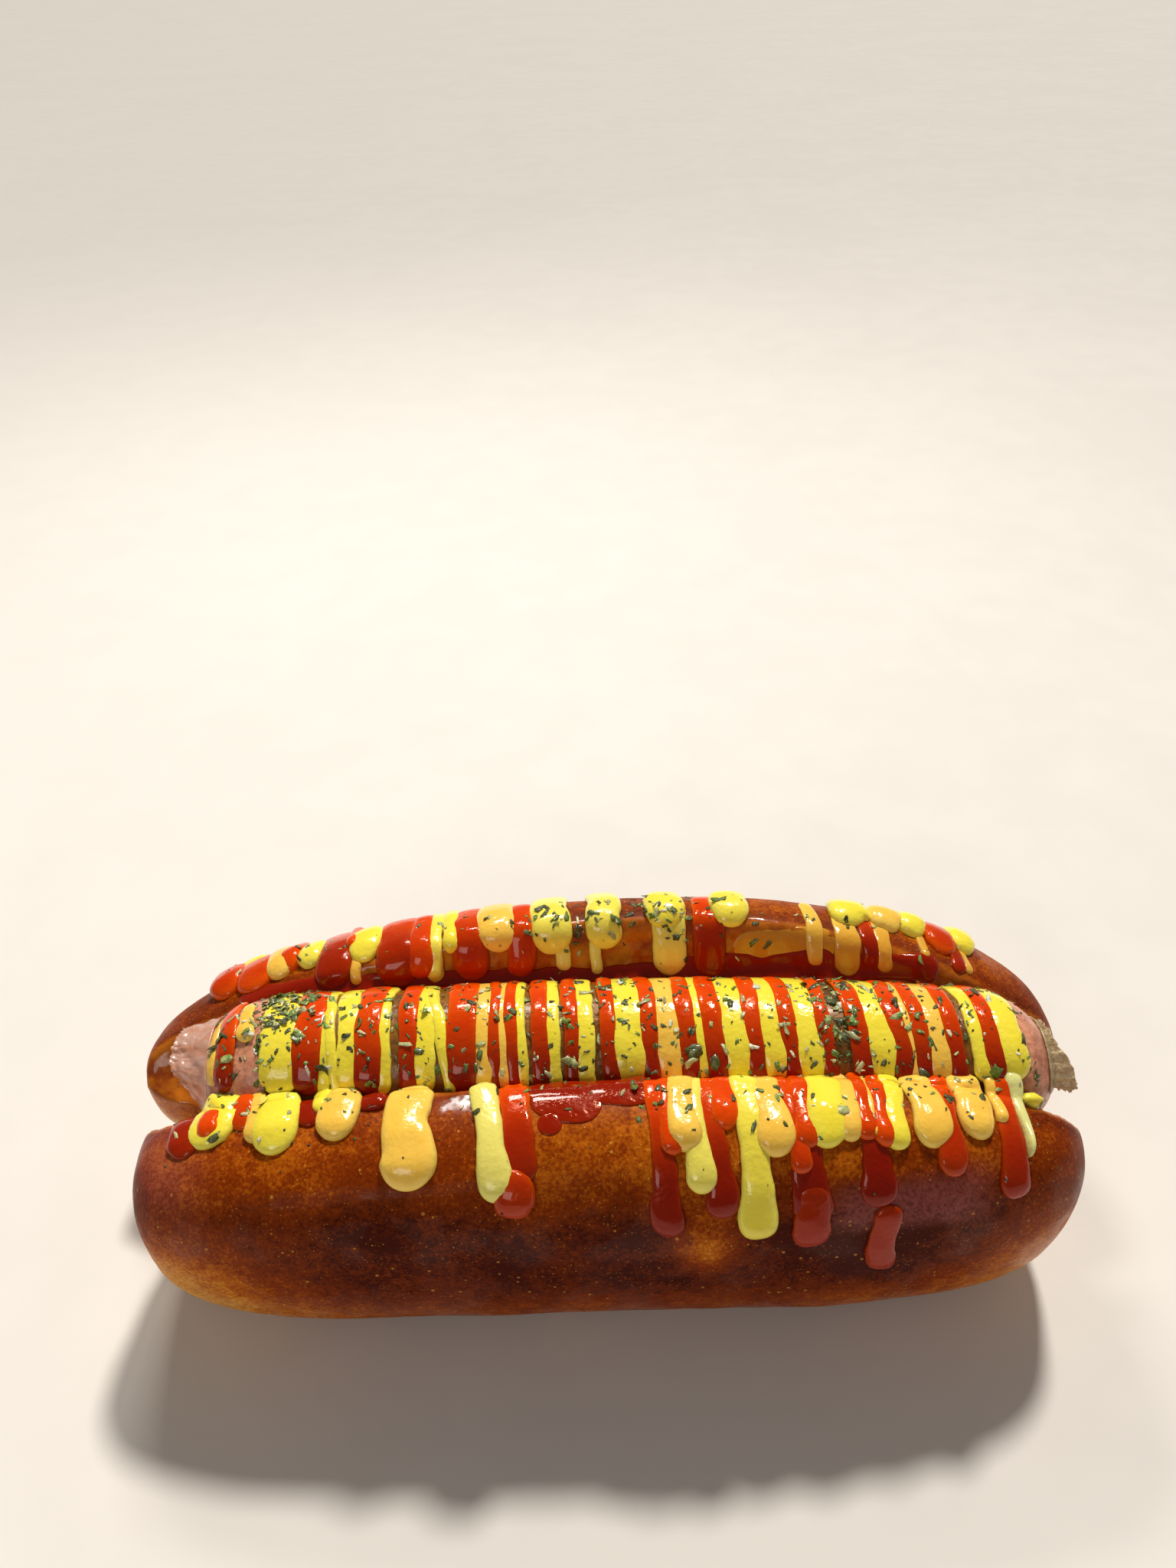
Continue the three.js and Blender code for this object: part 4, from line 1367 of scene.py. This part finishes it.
def pour(
    sauce, bed, line, width, thick, sink, seed,
    lift=0.0, bulb=0.25, neck=0.0, shade=0.0, tuck=0.0, taper=0.0, dark=0.0, shading=(0.1, 0.7),
):
    """Pours one ribbon of sauce along a line of places along X and turns.

    It has rounded ends, edges that wander on their own and a face that swells towards its end. The bulb
    widens its end, the neck narrows its middle, the taper narrows it towards its end and the tuck sinks its
    start. Its colour turns from dark at its start to shade at its end, between the two shares in shading.
    """
    line_x, line_turn = line
    middle = bed.points(line_x, line_turn)
    steps = np.linalg.norm(np.diff(middle, axis=0), axis=1)
    gone = np.concatenate([[0.0], np.cumsum(steps)])
    length = gone[-1]
    rings = max(LEAST_RINGS, min(MOST_RINGS, int(length / RIBBON_STEP)))
    verts, along, turn = add_ball(sauce.bm, rings, RIBBON_SIDES)
    share = (1.0 + along) / 2.0
    at_x = np.interp(share * length, gone, line_x)
    at_turn = np.interp(share * length, gone, line_turn)
    across = np.cross(bed.normals(at_x, at_turn), along_line(bed, line, gone, share))
    across /= np.linalg.norm(across, axis=1)[:, None]
    to_end = (1.0 - share) * length
    cap = width * 0.55
    shut = round_end(to_end, cap) * round_end(share * length, cap)
    swell = np.exp(-(((to_end - 0.6 * width) / (0.8 * width)) ** 2))
    left = 0.16 * wander(share, length, 6.0, seed) + 0.08 * wander(share, length, 2.4, seed + 11)
    right = 0.16 * wander(share, length, 6.0, seed + 23) + 0.08 * wander(share, length, 2.4, seed + 31)
    wobble = np.where(np.cos(turn) > 0, left, right) * EDGE_WIDTH / max(width, EDGE_WIDTH) * 1.6
    uneven = (1.0 + wobble + bulb * swell - neck * np.sin(np.pi * share) ** 2) * (1.0 - taper * share)
    shift_out = signed_power(np.cos(turn), 0.8) * uneven * shut * width / 2.0
    out = np.maximum(bed.distance(at_x, at_turn), LEAST_REACH)
    round_way = np.stack([np.zeros_like(at_turn), -np.sin(at_turn), np.cos(at_turn)], axis=1)
    place_x = at_x + across[:, 0] * shift_out
    place_turn = at_turn + np.sum(across * round_way, axis=1) * shift_out / out
    rise = np.sin(turn)
    body = thick * (0.82 + 0.55 * swell) * (1.0 + 0.2 * wander(share, length, 4.0, seed + 40))
    height = np.where(rise > 0, body * shut**0.8 * np.abs(rise) ** 0.62, -sink * np.abs(rise))
    height = height - tuck * (1.0 - smoothstep(share * length, 0.0, 3.0))
    up = bed.normals(place_x, place_turn)
    place(verts, bed.points(place_x, place_turn) + up * (height + lift)[:, None])
    shades = dark + (shade - dark) * smoothstep(share, *shading)
    for vert, level, turned in zip(verts, np.clip(rise, 0.0, 1.0) * shut, shades):
        vert[sauce.depth] = level
        vert[sauce.turned] = turned


def slant_line(first_x, last_x, first, last, seed):
    """A line across the dog from one place along X to another, wandering a little."""
    share = np.linspace(0.0, 1.0, LINE_STEPS)
    drift = 0.5 * wander(share, 30.0, 9.0, seed)
    return first_x + (last_x - first_x) * share + drift, np.radians(np.linspace(first, last, LINE_STEPS))


def pool_line(first_x, last_x, turn, seed):
    """A line that runs along the dog."""
    share = np.linspace(0.0, 1.0, LINE_STEPS)
    turns = turn + 1.4 * wander(share, last_x - first_x, 7.0, seed)
    return first_x + (last_x - first_x) * share, np.radians(turns)


def stripe_edges(number):
    """Where a stripe starts and ends along X. Mustard and cheese sauce reach under what is close beside."""
    kind, x, width = STRIPES[number]
    first, last = x - width / 2.0, x + width / 2.0
    if kind == KETCHUP:
        return first, last
    if number:
        beside = STRIPES[number - 1][1] + STRIPES[number - 1][2] / 2.0
        first = beside - UNDERLAP if first - beside < CLOSE_BY else first
    if number + 1 < len(STRIPES):
        beside = STRIPES[number + 1][1] - STRIPES[number + 1][2] / 2.0
        last = beside + UNDERLAP if beside - last < CLOSE_BY else last
    return first, last


def pour_stripes(sauces, bed, thick, sink):
    """The stripes over the sausage."""
    for number, (kind, x, _width) in enumerate(STRIPES):
        first_x, last_x = stripe_edges(number)
        middle = (first_x + last_x) / 2.0
        lean = 0.6 + 1.3 * smoothstep(x, -40.0, 30.0)
        start = STRIPE_START + 4.0 * math.sin(number * 2.3)
        line = slant_line(middle - lean / 2.0, middle + lean / 2.0, start, STRIPE_END, number)
        red = kind == KETCHUP
        # Ketchup stripes darken towards the front of the sausage, where it turns down from the light:
        # painted shade.
        pour(
            sauces[kind, "stripes"], bed, line, last_x - first_x + 0.3, thick, sink, number,
            lift=0.25 if red else 0.0, bulb=0.0, shade=0.9 if red else 0.0, shading=(0.35, 1.0),
        )
    for number, (kind, first_x, last_x, width) in enumerate(LEGS):
        seed = LEG_SEED + number
        line = slant_line(first_x, last_x, LEG_START, STRIPE_END, seed)
        pour(sauces[kind, "stripes"], bed, line, width, thick, sink, seed, lift=0.1, bulb=0.0)
    kind, first_x, last_x, width, last = SHORT_STRIPE
    line = slant_line(first_x, last_x, LEG_START, last, SHORT_SEED)
    pour(sauces[kind, "stripes"], bed, line, width, thick, sink, SHORT_SEED + 1, lift=0.2, bulb=0.3)


def pour_front_runs(sauces, bed, thick, sink):
    """The runs over the front lip and down the crust."""
    for number, (kind, first_x, last_x, last, width, share, shade) in enumerate(FRONT_RUNS):
        seed = FRONT_SEED + number
        first = RUN_START + 8.0 * smoothstep(-first_x, 72.0, 78.0)
        end = last - SAG * share * smoothstep(last, 134.0, 146.0)
        line = slant_line(first_x, last_x, first, end, seed)
        long_run = smoothstep(last, 136.0, 156.0)
        pour(
            sauces[kind, "runs"], bed, line, width * 1.04, thick * share, sink, seed,
            lift=0.03 * (number % 3), bulb=0.06 + 0.12 * long_run, neck=0.2 * long_run,
            shade=shade, tuck=2.0, dark=0.0 if kind == KETCHUP else shade,
        )
    kind, first_x, last_x, last, width = PALE_RUN
    line = slant_line(first_x, last_x, RUN_START, last, PALE_SEED)
    pour(
        sauces[kind, "runs"], bed, line, width, thick, sink, PALE_SEED + 1,
        bulb=0.0, shade=1.0, dark=1.0, tuck=1.0, taper=0.75,
    )


def pour_back_runs(sauces, bed, thick, sink):
    """The runs over the back ridge and down the cut face."""
    for number, (kind, x, last, width, share, shade) in enumerate(BACK_RUNS):
        seed = BACK_SEED + number
        first = BACK_START + 3.5 * math.sin(number * 2.9) + (6.0 if share < 0.7 else 0.0)
        line = slant_line(x - 0.3, x + 0.3, first, last, seed)
        pour(
            sauces[kind, "runs"], bed, line, width * 1.06, thick * share, sink, seed,
            lift=0.04 * (number % 4), bulb=0.0, shade=shade,
        )


def pour_pools(sauces, beds, thick, sink):
    """The sauce that gathers in the creases, the thin films and the small blobs."""
    for number, (kind, bed, first_x, last_x, turn, width, share, lift) in enumerate(POOLS):
        seed = POOL_SEED + number
        line = pool_line(first_x, last_x, turn, seed)
        tone = POOL_TONES[kind]
        pour(
            sauces[kind, "runs"], beds[bed], line, width, thick * share, sink, seed,
            lift=lift, shade=tone, dark=tone,
        )
    for number, (kind, x, turn, width, length, share, lift, shade) in enumerate(BLOBS):
        bed = beds["front"]
        out = bed.distance(np.array([x]), np.array([math.radians(turn)]))[0]
        half = math.degrees(length / 2.0 / out)
        line = slant_line(x + 0.2, x - 0.2, turn - half, turn + half, BLOB_LINE_SEED + number)
        pour(
            sauces[kind, "runs"], bed, line, width, thick * share, sink, BLOB_SEED + number,
            lift=lift, bulb=0.2, shade=shade, dark=shade,
        )


class HOTDOG_OT_sauces(bpy.types.Operator):
    """Pours the ketchup, mustard and cheese sauce over the sausage and the bun"""

    bl_idname = "hotdog.sauces"
    bl_label = "Sauces"

    def execute(self, context):
        settings = context.scene.hotdog_sauce
        graph = bpy.context.evaluated_depsgraph_get()
        trees = [BVHTree.FromObject(need(name), graph) for name in ("bun_loaf", "sausage_link")]
        beds = {
            "front": Bed(trees, FRONT_CENTRE, 50.0, 215.0, 6),
            "back": Bed(trees, BACK_CENTRE, 60.0, 132.0, 3),
            "link": Bed(trees[1:], LINK_CENTRE, 14.0, 172.0, 0),
        }
        sauces = {(kind, part): new_sauce() for kind in SAUCES for part in PARTS}
        stripe = settings.stripe_thickness / MM
        run = settings.run_thickness / MM
        sink = settings.sink / MM
        pour_stripes(sauces, beds["link"], stripe, sink)
        pour_front_runs(sauces, beds["front"], run, sink)
        pour_back_runs(sauces, beds["back"], run, sink)
        pour_pools(sauces, beds, run, sink)
        shades = {
            KETCHUP: (settings.ketchup, settings.ketchup_deep, settings.ketchup_dark_and_shaded),
            MUSTARD: (settings.mustard, settings.mustard_deep, settings.pale),
            CHEESE: (settings.cheese, settings.cheese_deep, settings.cheese_film),
        }
        materials = {kind: sauce_material(GLOSSES[kind], *shades[kind]) for kind in SAUCES}
        for (kind, part), sauce in sauces.items():
            dress(make_object(f"{kind}_{part}", sauce.bm), materials[kind])
        return {"FINISHED"}


# The herbs

# Where flakes fall: the place along X, how far they spread along it, the turn, its spread and the share of
# flakes. A drift that spreads WIDE_DRIFT or more is even, and a narrower one is thick in its middle.
HERB_DRIFTS = (
    (-61.0, 3.4, 84.0, 9.0, 0.2),
    (43.0, 2.4, 92.0, 12.0, 0.13),
    (0.0, 46.0, 80.0, 10.0, 0.22),
    (-5.0, 44.0, 100.0, 11.0, 0.27),
    (-30.0, 34.0, 116.0, 6.0, 0.09),
    (45.0, 24.0, 122.0, 7.0, 0.09),
)
ONION_DRIFTS = (
    (-58.0, 6.0, 90.0, 9.0, 0.16),
    (43.0, 4.0, 92.0, 12.0, 0.1),
    (-5.0, 50.0, 90.0, 13.0, 0.6),
    (0.0, 52.0, 116.0, 9.0, 0.14),
)
BACK_DRIFTS = (
    (-10.0, 6.0, 103.0, 4.0, 0.3),
    (12.0, 6.0, 103.0, 5.0, 0.3),
    (-20.0, 45.0, 102.0, 5.0, 0.4),
)
PEPPER_DRIFTS = ((0.0, 50.0, 108.0, 20.0, 1.0),)
WIDE_DRIFT = 20.0
DRIFT_ENDS = (-80.0, 79.0)
BACK_SHARE = 0.13
SPOT_TRIES = 40
HERB_SEED = 7

LONGEST_FLAKE = 0.0027
FLAKE_SPREAD = 0.45
FLAKE_TILT = 0.2
HERB_SLIMNESS = 0.5
ONION_SLIMNESS = 0.42
ONION_PALEST = (0.85, 0.84, 0.7)
GRAIN_RADII = (0.16, 0.42)


def pick_drift(drifts, rng):
    """One of the drifts, by its share."""
    draw = rng.random() * sum(drift[4] for drift in drifts)
    for drift in drifts:
        draw -= drift[4]
        if draw <= 0:
            return drift
    return drifts[-1]


def drop_spot(trees, centre, drifts, rng):
    """A spot on the dog that a flake falls on, and the direction out of it."""
    for _ in range(SPOT_TRIES):
        x, spread, turn, turn_spread, _share = pick_drift(drifts, rng)
        if spread < WIDE_DRIFT:
            at_x = rng.gauss(x, spread)
        else:
            at_x = rng.uniform(x - 1.7 * spread, x + 1.7 * spread)
        at_x = max(DRIFT_ENDS[0], min(DRIFT_ENDS[1], at_x))
        angle = math.radians(rng.gauss(turn, turn_spread))
        out = Vector((0.0, math.cos(angle), math.sin(angle)))
        start = (Vector((at_x, centre[0], centre[1])) + BED_FAR * out + SHIFT) * MM
        hits = [tree.ray_cast(start, -out, BED_FAR * MM) for tree in trees]
        hits = [hit for hit in hits if hit[0] is not None]
        if hits:
            spot = min(hits, key=lambda hit: hit[3])
            return spot[0], spot[1]
    raise RuntimeError("no flake found a place")


def lay_frame(spot, out, rng):
    """A turned frame with its Z along the surface's direction out, tipped a little."""
    tipped = (out + Vector([rng.gauss(0.0, FLAKE_TILT) for _ in range(3)])).normalized()
    along = tipped.orthogonal().normalized()
    along.rotate(Matrix.Rotation(rng.uniform(0.0, 2.0 * math.pi), 3, tipped))
    side = tipped.cross(along)
    turned = Matrix((along, side, tipped)).transposed().to_4x4()
    turned.translation = spot
    return turned


def add_flake(bm, tone_layer, spot, out, length, width, rng, tone):
    """One dried flake: a curled scrap with uneven edges."""
    verts = bmesh.ops.create_grid(bm, x_segments=3, y_segments=2, size=0.5)["verts"]
    bend = rng.uniform(-0.5, 0.9)
    twist = rng.uniform(-0.5, 0.5)
    lifted = lay_frame(spot, out, rng)
    for vert in verts:
        along, side = vert.co.x, vert.co.y
        narrow = 1.0 - 1.1 * abs(along) ** 1.6 * rng.uniform(0.6, 1.1)
        flat_x = length * (along + rng.uniform(-0.15, 0.15))
        flat_y = width * side * max(0.15, narrow) + width * rng.uniform(-0.17, 0.17)
        curl = length * (0.05 + bend * (along * along - 0.08) * 0.6 + twist * along * side * 0.7)
        vert.co = lifted @ Vector((flat_x, flat_y, curl))
        vert[tone_layer] = tone


def make_flakes(name, trees, number, drifts, settings, rng, slim):
    """Many flakes in one mesh."""
    bm = bmesh.new()
    layer = bm.verts.layers.float.new("tone")
    for _ in range(number):
        if rng.random() < BACK_SHARE:
            spot, out = drop_spot(trees, BACK_CENTRE, BACK_DRIFTS, rng)
        else:
            spot, out = drop_spot(trees, FRONT_CENTRE, drifts, rng)
        length = min(LONGEST_FLAKE, settings.length * rng.lognormvariate(0.0, FLAKE_SPREAD))
        width = length * slim * rng.uniform(0.7, 1.4)
        tone = rng.random()
        add_flake(bm, layer, spot, out, length, width, rng, tone)
    return make_sheet(name, bm, settings.thickness)


def make_pepper(trees, settings, rng):
    """Grains of pepper."""
    bm = bmesh.new()
    layer = bm.verts.layers.float.new("tone")
    for _ in range(settings.pepper_count):
        spot, out = drop_spot(trees, FRONT_CENTRE, PEPPER_DRIFTS, rng)
        verts = bmesh.ops.create_icosphere(bm, subdivisions=1, radius=1.0)["verts"]
        turned = lay_frame(spot, out, rng)
        grain = rng.uniform(*GRAIN_RADII) * MM
        tone = rng.random()
        for vert in verts:
            rough = rng.uniform(0.75, 1.15)
            flat = Vector((vert.co.x, vert.co.y * 0.8, vert.co.z * 0.5 + 0.15))
            vert.co = turned @ (flat * grain * rough)
            vert[layer] = tone
    return make_object("pepper_grains", bm)


class HOTDOG_OT_herbs(bpy.types.Operator):
    """Scatters the dried herbs, the pale onion flakes and the pepper"""

    bl_idname = "hotdog.herbs"
    bl_label = "Herbs"

    def execute(self, context):
        settings = context.scene.hotdog_herb
        graph = bpy.context.evaluated_depsgraph_get()
        names = ["bun_loaf", "sausage_link"]
        names += [f"{kind}_{part}" for kind in SAUCES for part in PARTS]
        trees = [BVHTree.FromObject(need(name), graph) for name in names]
        rng = random.Random(HERB_SEED)
        herbs = make_flakes(
            "herb_flakes", trees, settings.herb_count, HERB_DRIFTS, settings, rng, HERB_SLIMNESS
        )
        onion = make_flakes(
            "onion_flakes", trees, settings.onion_count, ONION_DRIFTS, settings, rng, ONION_SLIMNESS
        )
        pepper = make_pepper(trees, settings, rng)
        olive, green, straw = tuple(settings.olive), tuple(settings.green), tuple(settings.straw)
        herb_stops = ((0.0, darkened(olive, 0.5)), (0.45, olive), (0.8, green), (1.0, straw))
        onion_stops = ((0.0, darkened(straw, 0.6)), (0.6, straw), (1.0, ONION_PALEST))
        pepper_stops = ((0.0, tuple(settings.pepper)), (1.0, olive))
        dress(herbs, flake_material("herb_dried", herb_stops))
        dress(onion, flake_material("onion_dried", onion_stops))
        dress(pepper, flake_material("pepper_cracked", pepper_stops))
        return {"FINISHED"}


# The stage

FLOOR_SIZE = 9.0
LIT_PLACE = (0.0, 0.0, 0.03)
KEY_ANGLE = 0.12
KEY_PLACE = (0.25, 0.75, 1.15)
KEY_TINT = (1.0, 0.96, 0.9)
SKY_TINT = (1.0, 0.95, 0.88, 1.0)

# Each softbox: its place, its width, its height and its tint.
BACK_BOX = ((-0.1, 0.42, 0.5), 0.14, 0.06, (1.0, 0.97, 0.92))
FILL_BOX = ((-0.35, -0.75, 0.5), 0.36, 0.28, (1.0, 0.97, 0.93))


def aim(obj, target):
    """Turns a lamp to face a place."""
    obj.rotation_euler = (Vector(target) - obj.location).to_track_quat("-Z", "Y").to_euler()


def add_softbox(name, box, power):
    """A rectangular lamp that faces the hot dog."""
    where, width, height, tint = box
    data = bpy.data.lights.new(name, "AREA")
    data.shape = "RECTANGLE"
    data.size = width
    data.size_y = height
    data.energy = power
    data.color = tint
    lamp = bpy.data.objects.new(name, data)
    lamp.location = where
    bpy.context.scene.collection.objects.link(lamp)
    aim(lamp, LIT_PLACE)


def add_key(power):
    """A wide distant lamp behind and above, so that the floor is lit evenly."""
    data = bpy.data.lights.new("key_light", "SUN")
    data.energy = power
    data.angle = KEY_ANGLE
    data.color = KEY_TINT
    lamp = bpy.data.objects.new("key_light", data)
    lamp.location = KEY_PLACE
    bpy.context.scene.collection.objects.link(lamp)
    aim(lamp, LIT_PLACE)


def add_camera(stage):
    """The camera, from its place and its three turns."""
    ahead = Vector((math.sin(stage.yaw), math.cos(stage.yaw), 0.0))
    forward = math.cos(stage.pitch) * ahead - math.sin(stage.pitch) * Vector((0.0, 0.0, 1.0))
    level = Vector((math.cos(stage.yaw), -math.sin(stage.yaw), 0.0))
    down = forward.cross(level)
    right = math.cos(stage.roll) * level + math.sin(stage.roll) * down
    below = math.cos(stage.roll) * down - math.sin(stage.roll) * level
    turned = Matrix((right, -below, -forward)).transposed().to_4x4()
    turned.translation = Vector(stage.eye) + SHIFT * MM
    data = bpy.data.cameras.new("camera")
    data.sensor_width = 36.0
    data.lens = stage.lens
    data.clip_start = 0.01
    camera = bpy.data.objects.new("camera", data)
    camera.matrix_world = turned
    bpy.context.scene.collection.objects.link(camera)
    bpy.context.scene.camera = camera


class HOTDOG_OT_stage(bpy.types.Operator):
    """Lays the floor and sets the lights and the camera"""

    bl_idname = "hotdog.stage"
    bl_label = "Stage"

    def execute(self, context):
        stage = context.scene.hotdog_stage
        bm = bmesh.new()
        bmesh.ops.create_grid(bm, x_segments=8, y_segments=8, size=FLOOR_SIZE)
        floor = make_object("floor", bm)
        floor.data.materials.append(floor_material(stage))
        add_key(stage.key_power)
        add_softbox("back_softbox", BACK_BOX, stage.box_power)
        add_softbox("fill_light", FILL_BOX, stage.fill_power)
        world = bpy.data.worlds.new("room")
        world.use_nodes = True
        background = world.node_tree.nodes["Background"]
        background.inputs["Color"].default_value = SKY_TINT
        background.inputs["Strength"].default_value = stage.sky
        context.scene.world = world
        context.scene.view_settings.view_transform = "Standard"
        add_camera(stage)
        return {"FINISHED"}


class HOTDOG_PT_panel(bpy.types.Panel):
    """The steps that make the hot dog, in order"""

    bl_idname = "HOTDOG_PT_panel"
    bl_label = "Hot dog"
    bl_space_type = "VIEW_3D"
    bl_region_type = "UI"
    bl_category = "Hot dog"

    def draw(self, context):
        for step in STEPS:
            self.layout.operator(step.bl_idname)


STEPS = (
    HOTDOG_OT_bun, HOTDOG_OT_sausage, HOTDOG_OT_casing, HOTDOG_OT_sauces, HOTDOG_OT_herbs, HOTDOG_OT_stage,
)
SETTINGS = {
    "hotdog_bun": BunSettings,
    "hotdog_sausage": SausageSettings,
    "hotdog_sauce": SauceSettings,
    "hotdog_herb": HerbSettings,
    "hotdog_stage": StageSettings,
}


def register():
    """Adds the settings, the steps and the panel."""
    for kind in (*SETTINGS.values(), *STEPS, HOTDOG_PT_panel):
        bpy.utils.register_class(kind)
    for name, kind in SETTINGS.items():
        setattr(bpy.types.Scene, name, PointerProperty(type=kind))


def unregister():
    """Takes the settings, the steps and the panel away."""
    for name in SETTINGS:
        delattr(bpy.types.Scene, name)
    for kind in reversed((*SETTINGS.values(), *STEPS, HOTDOG_PT_panel)):
        bpy.utils.unregister_class(kind)


def main():
    """Makes the hot dog and its stage."""
    register()
    bpy.ops.hotdog.bun()
    bpy.ops.hotdog.sausage()
    bpy.ops.hotdog.casing()
    bpy.ops.hotdog.sauces()
    bpy.ops.hotdog.herbs()
    bpy.ops.hotdog.stage()


if __name__ == "__main__":
    main()
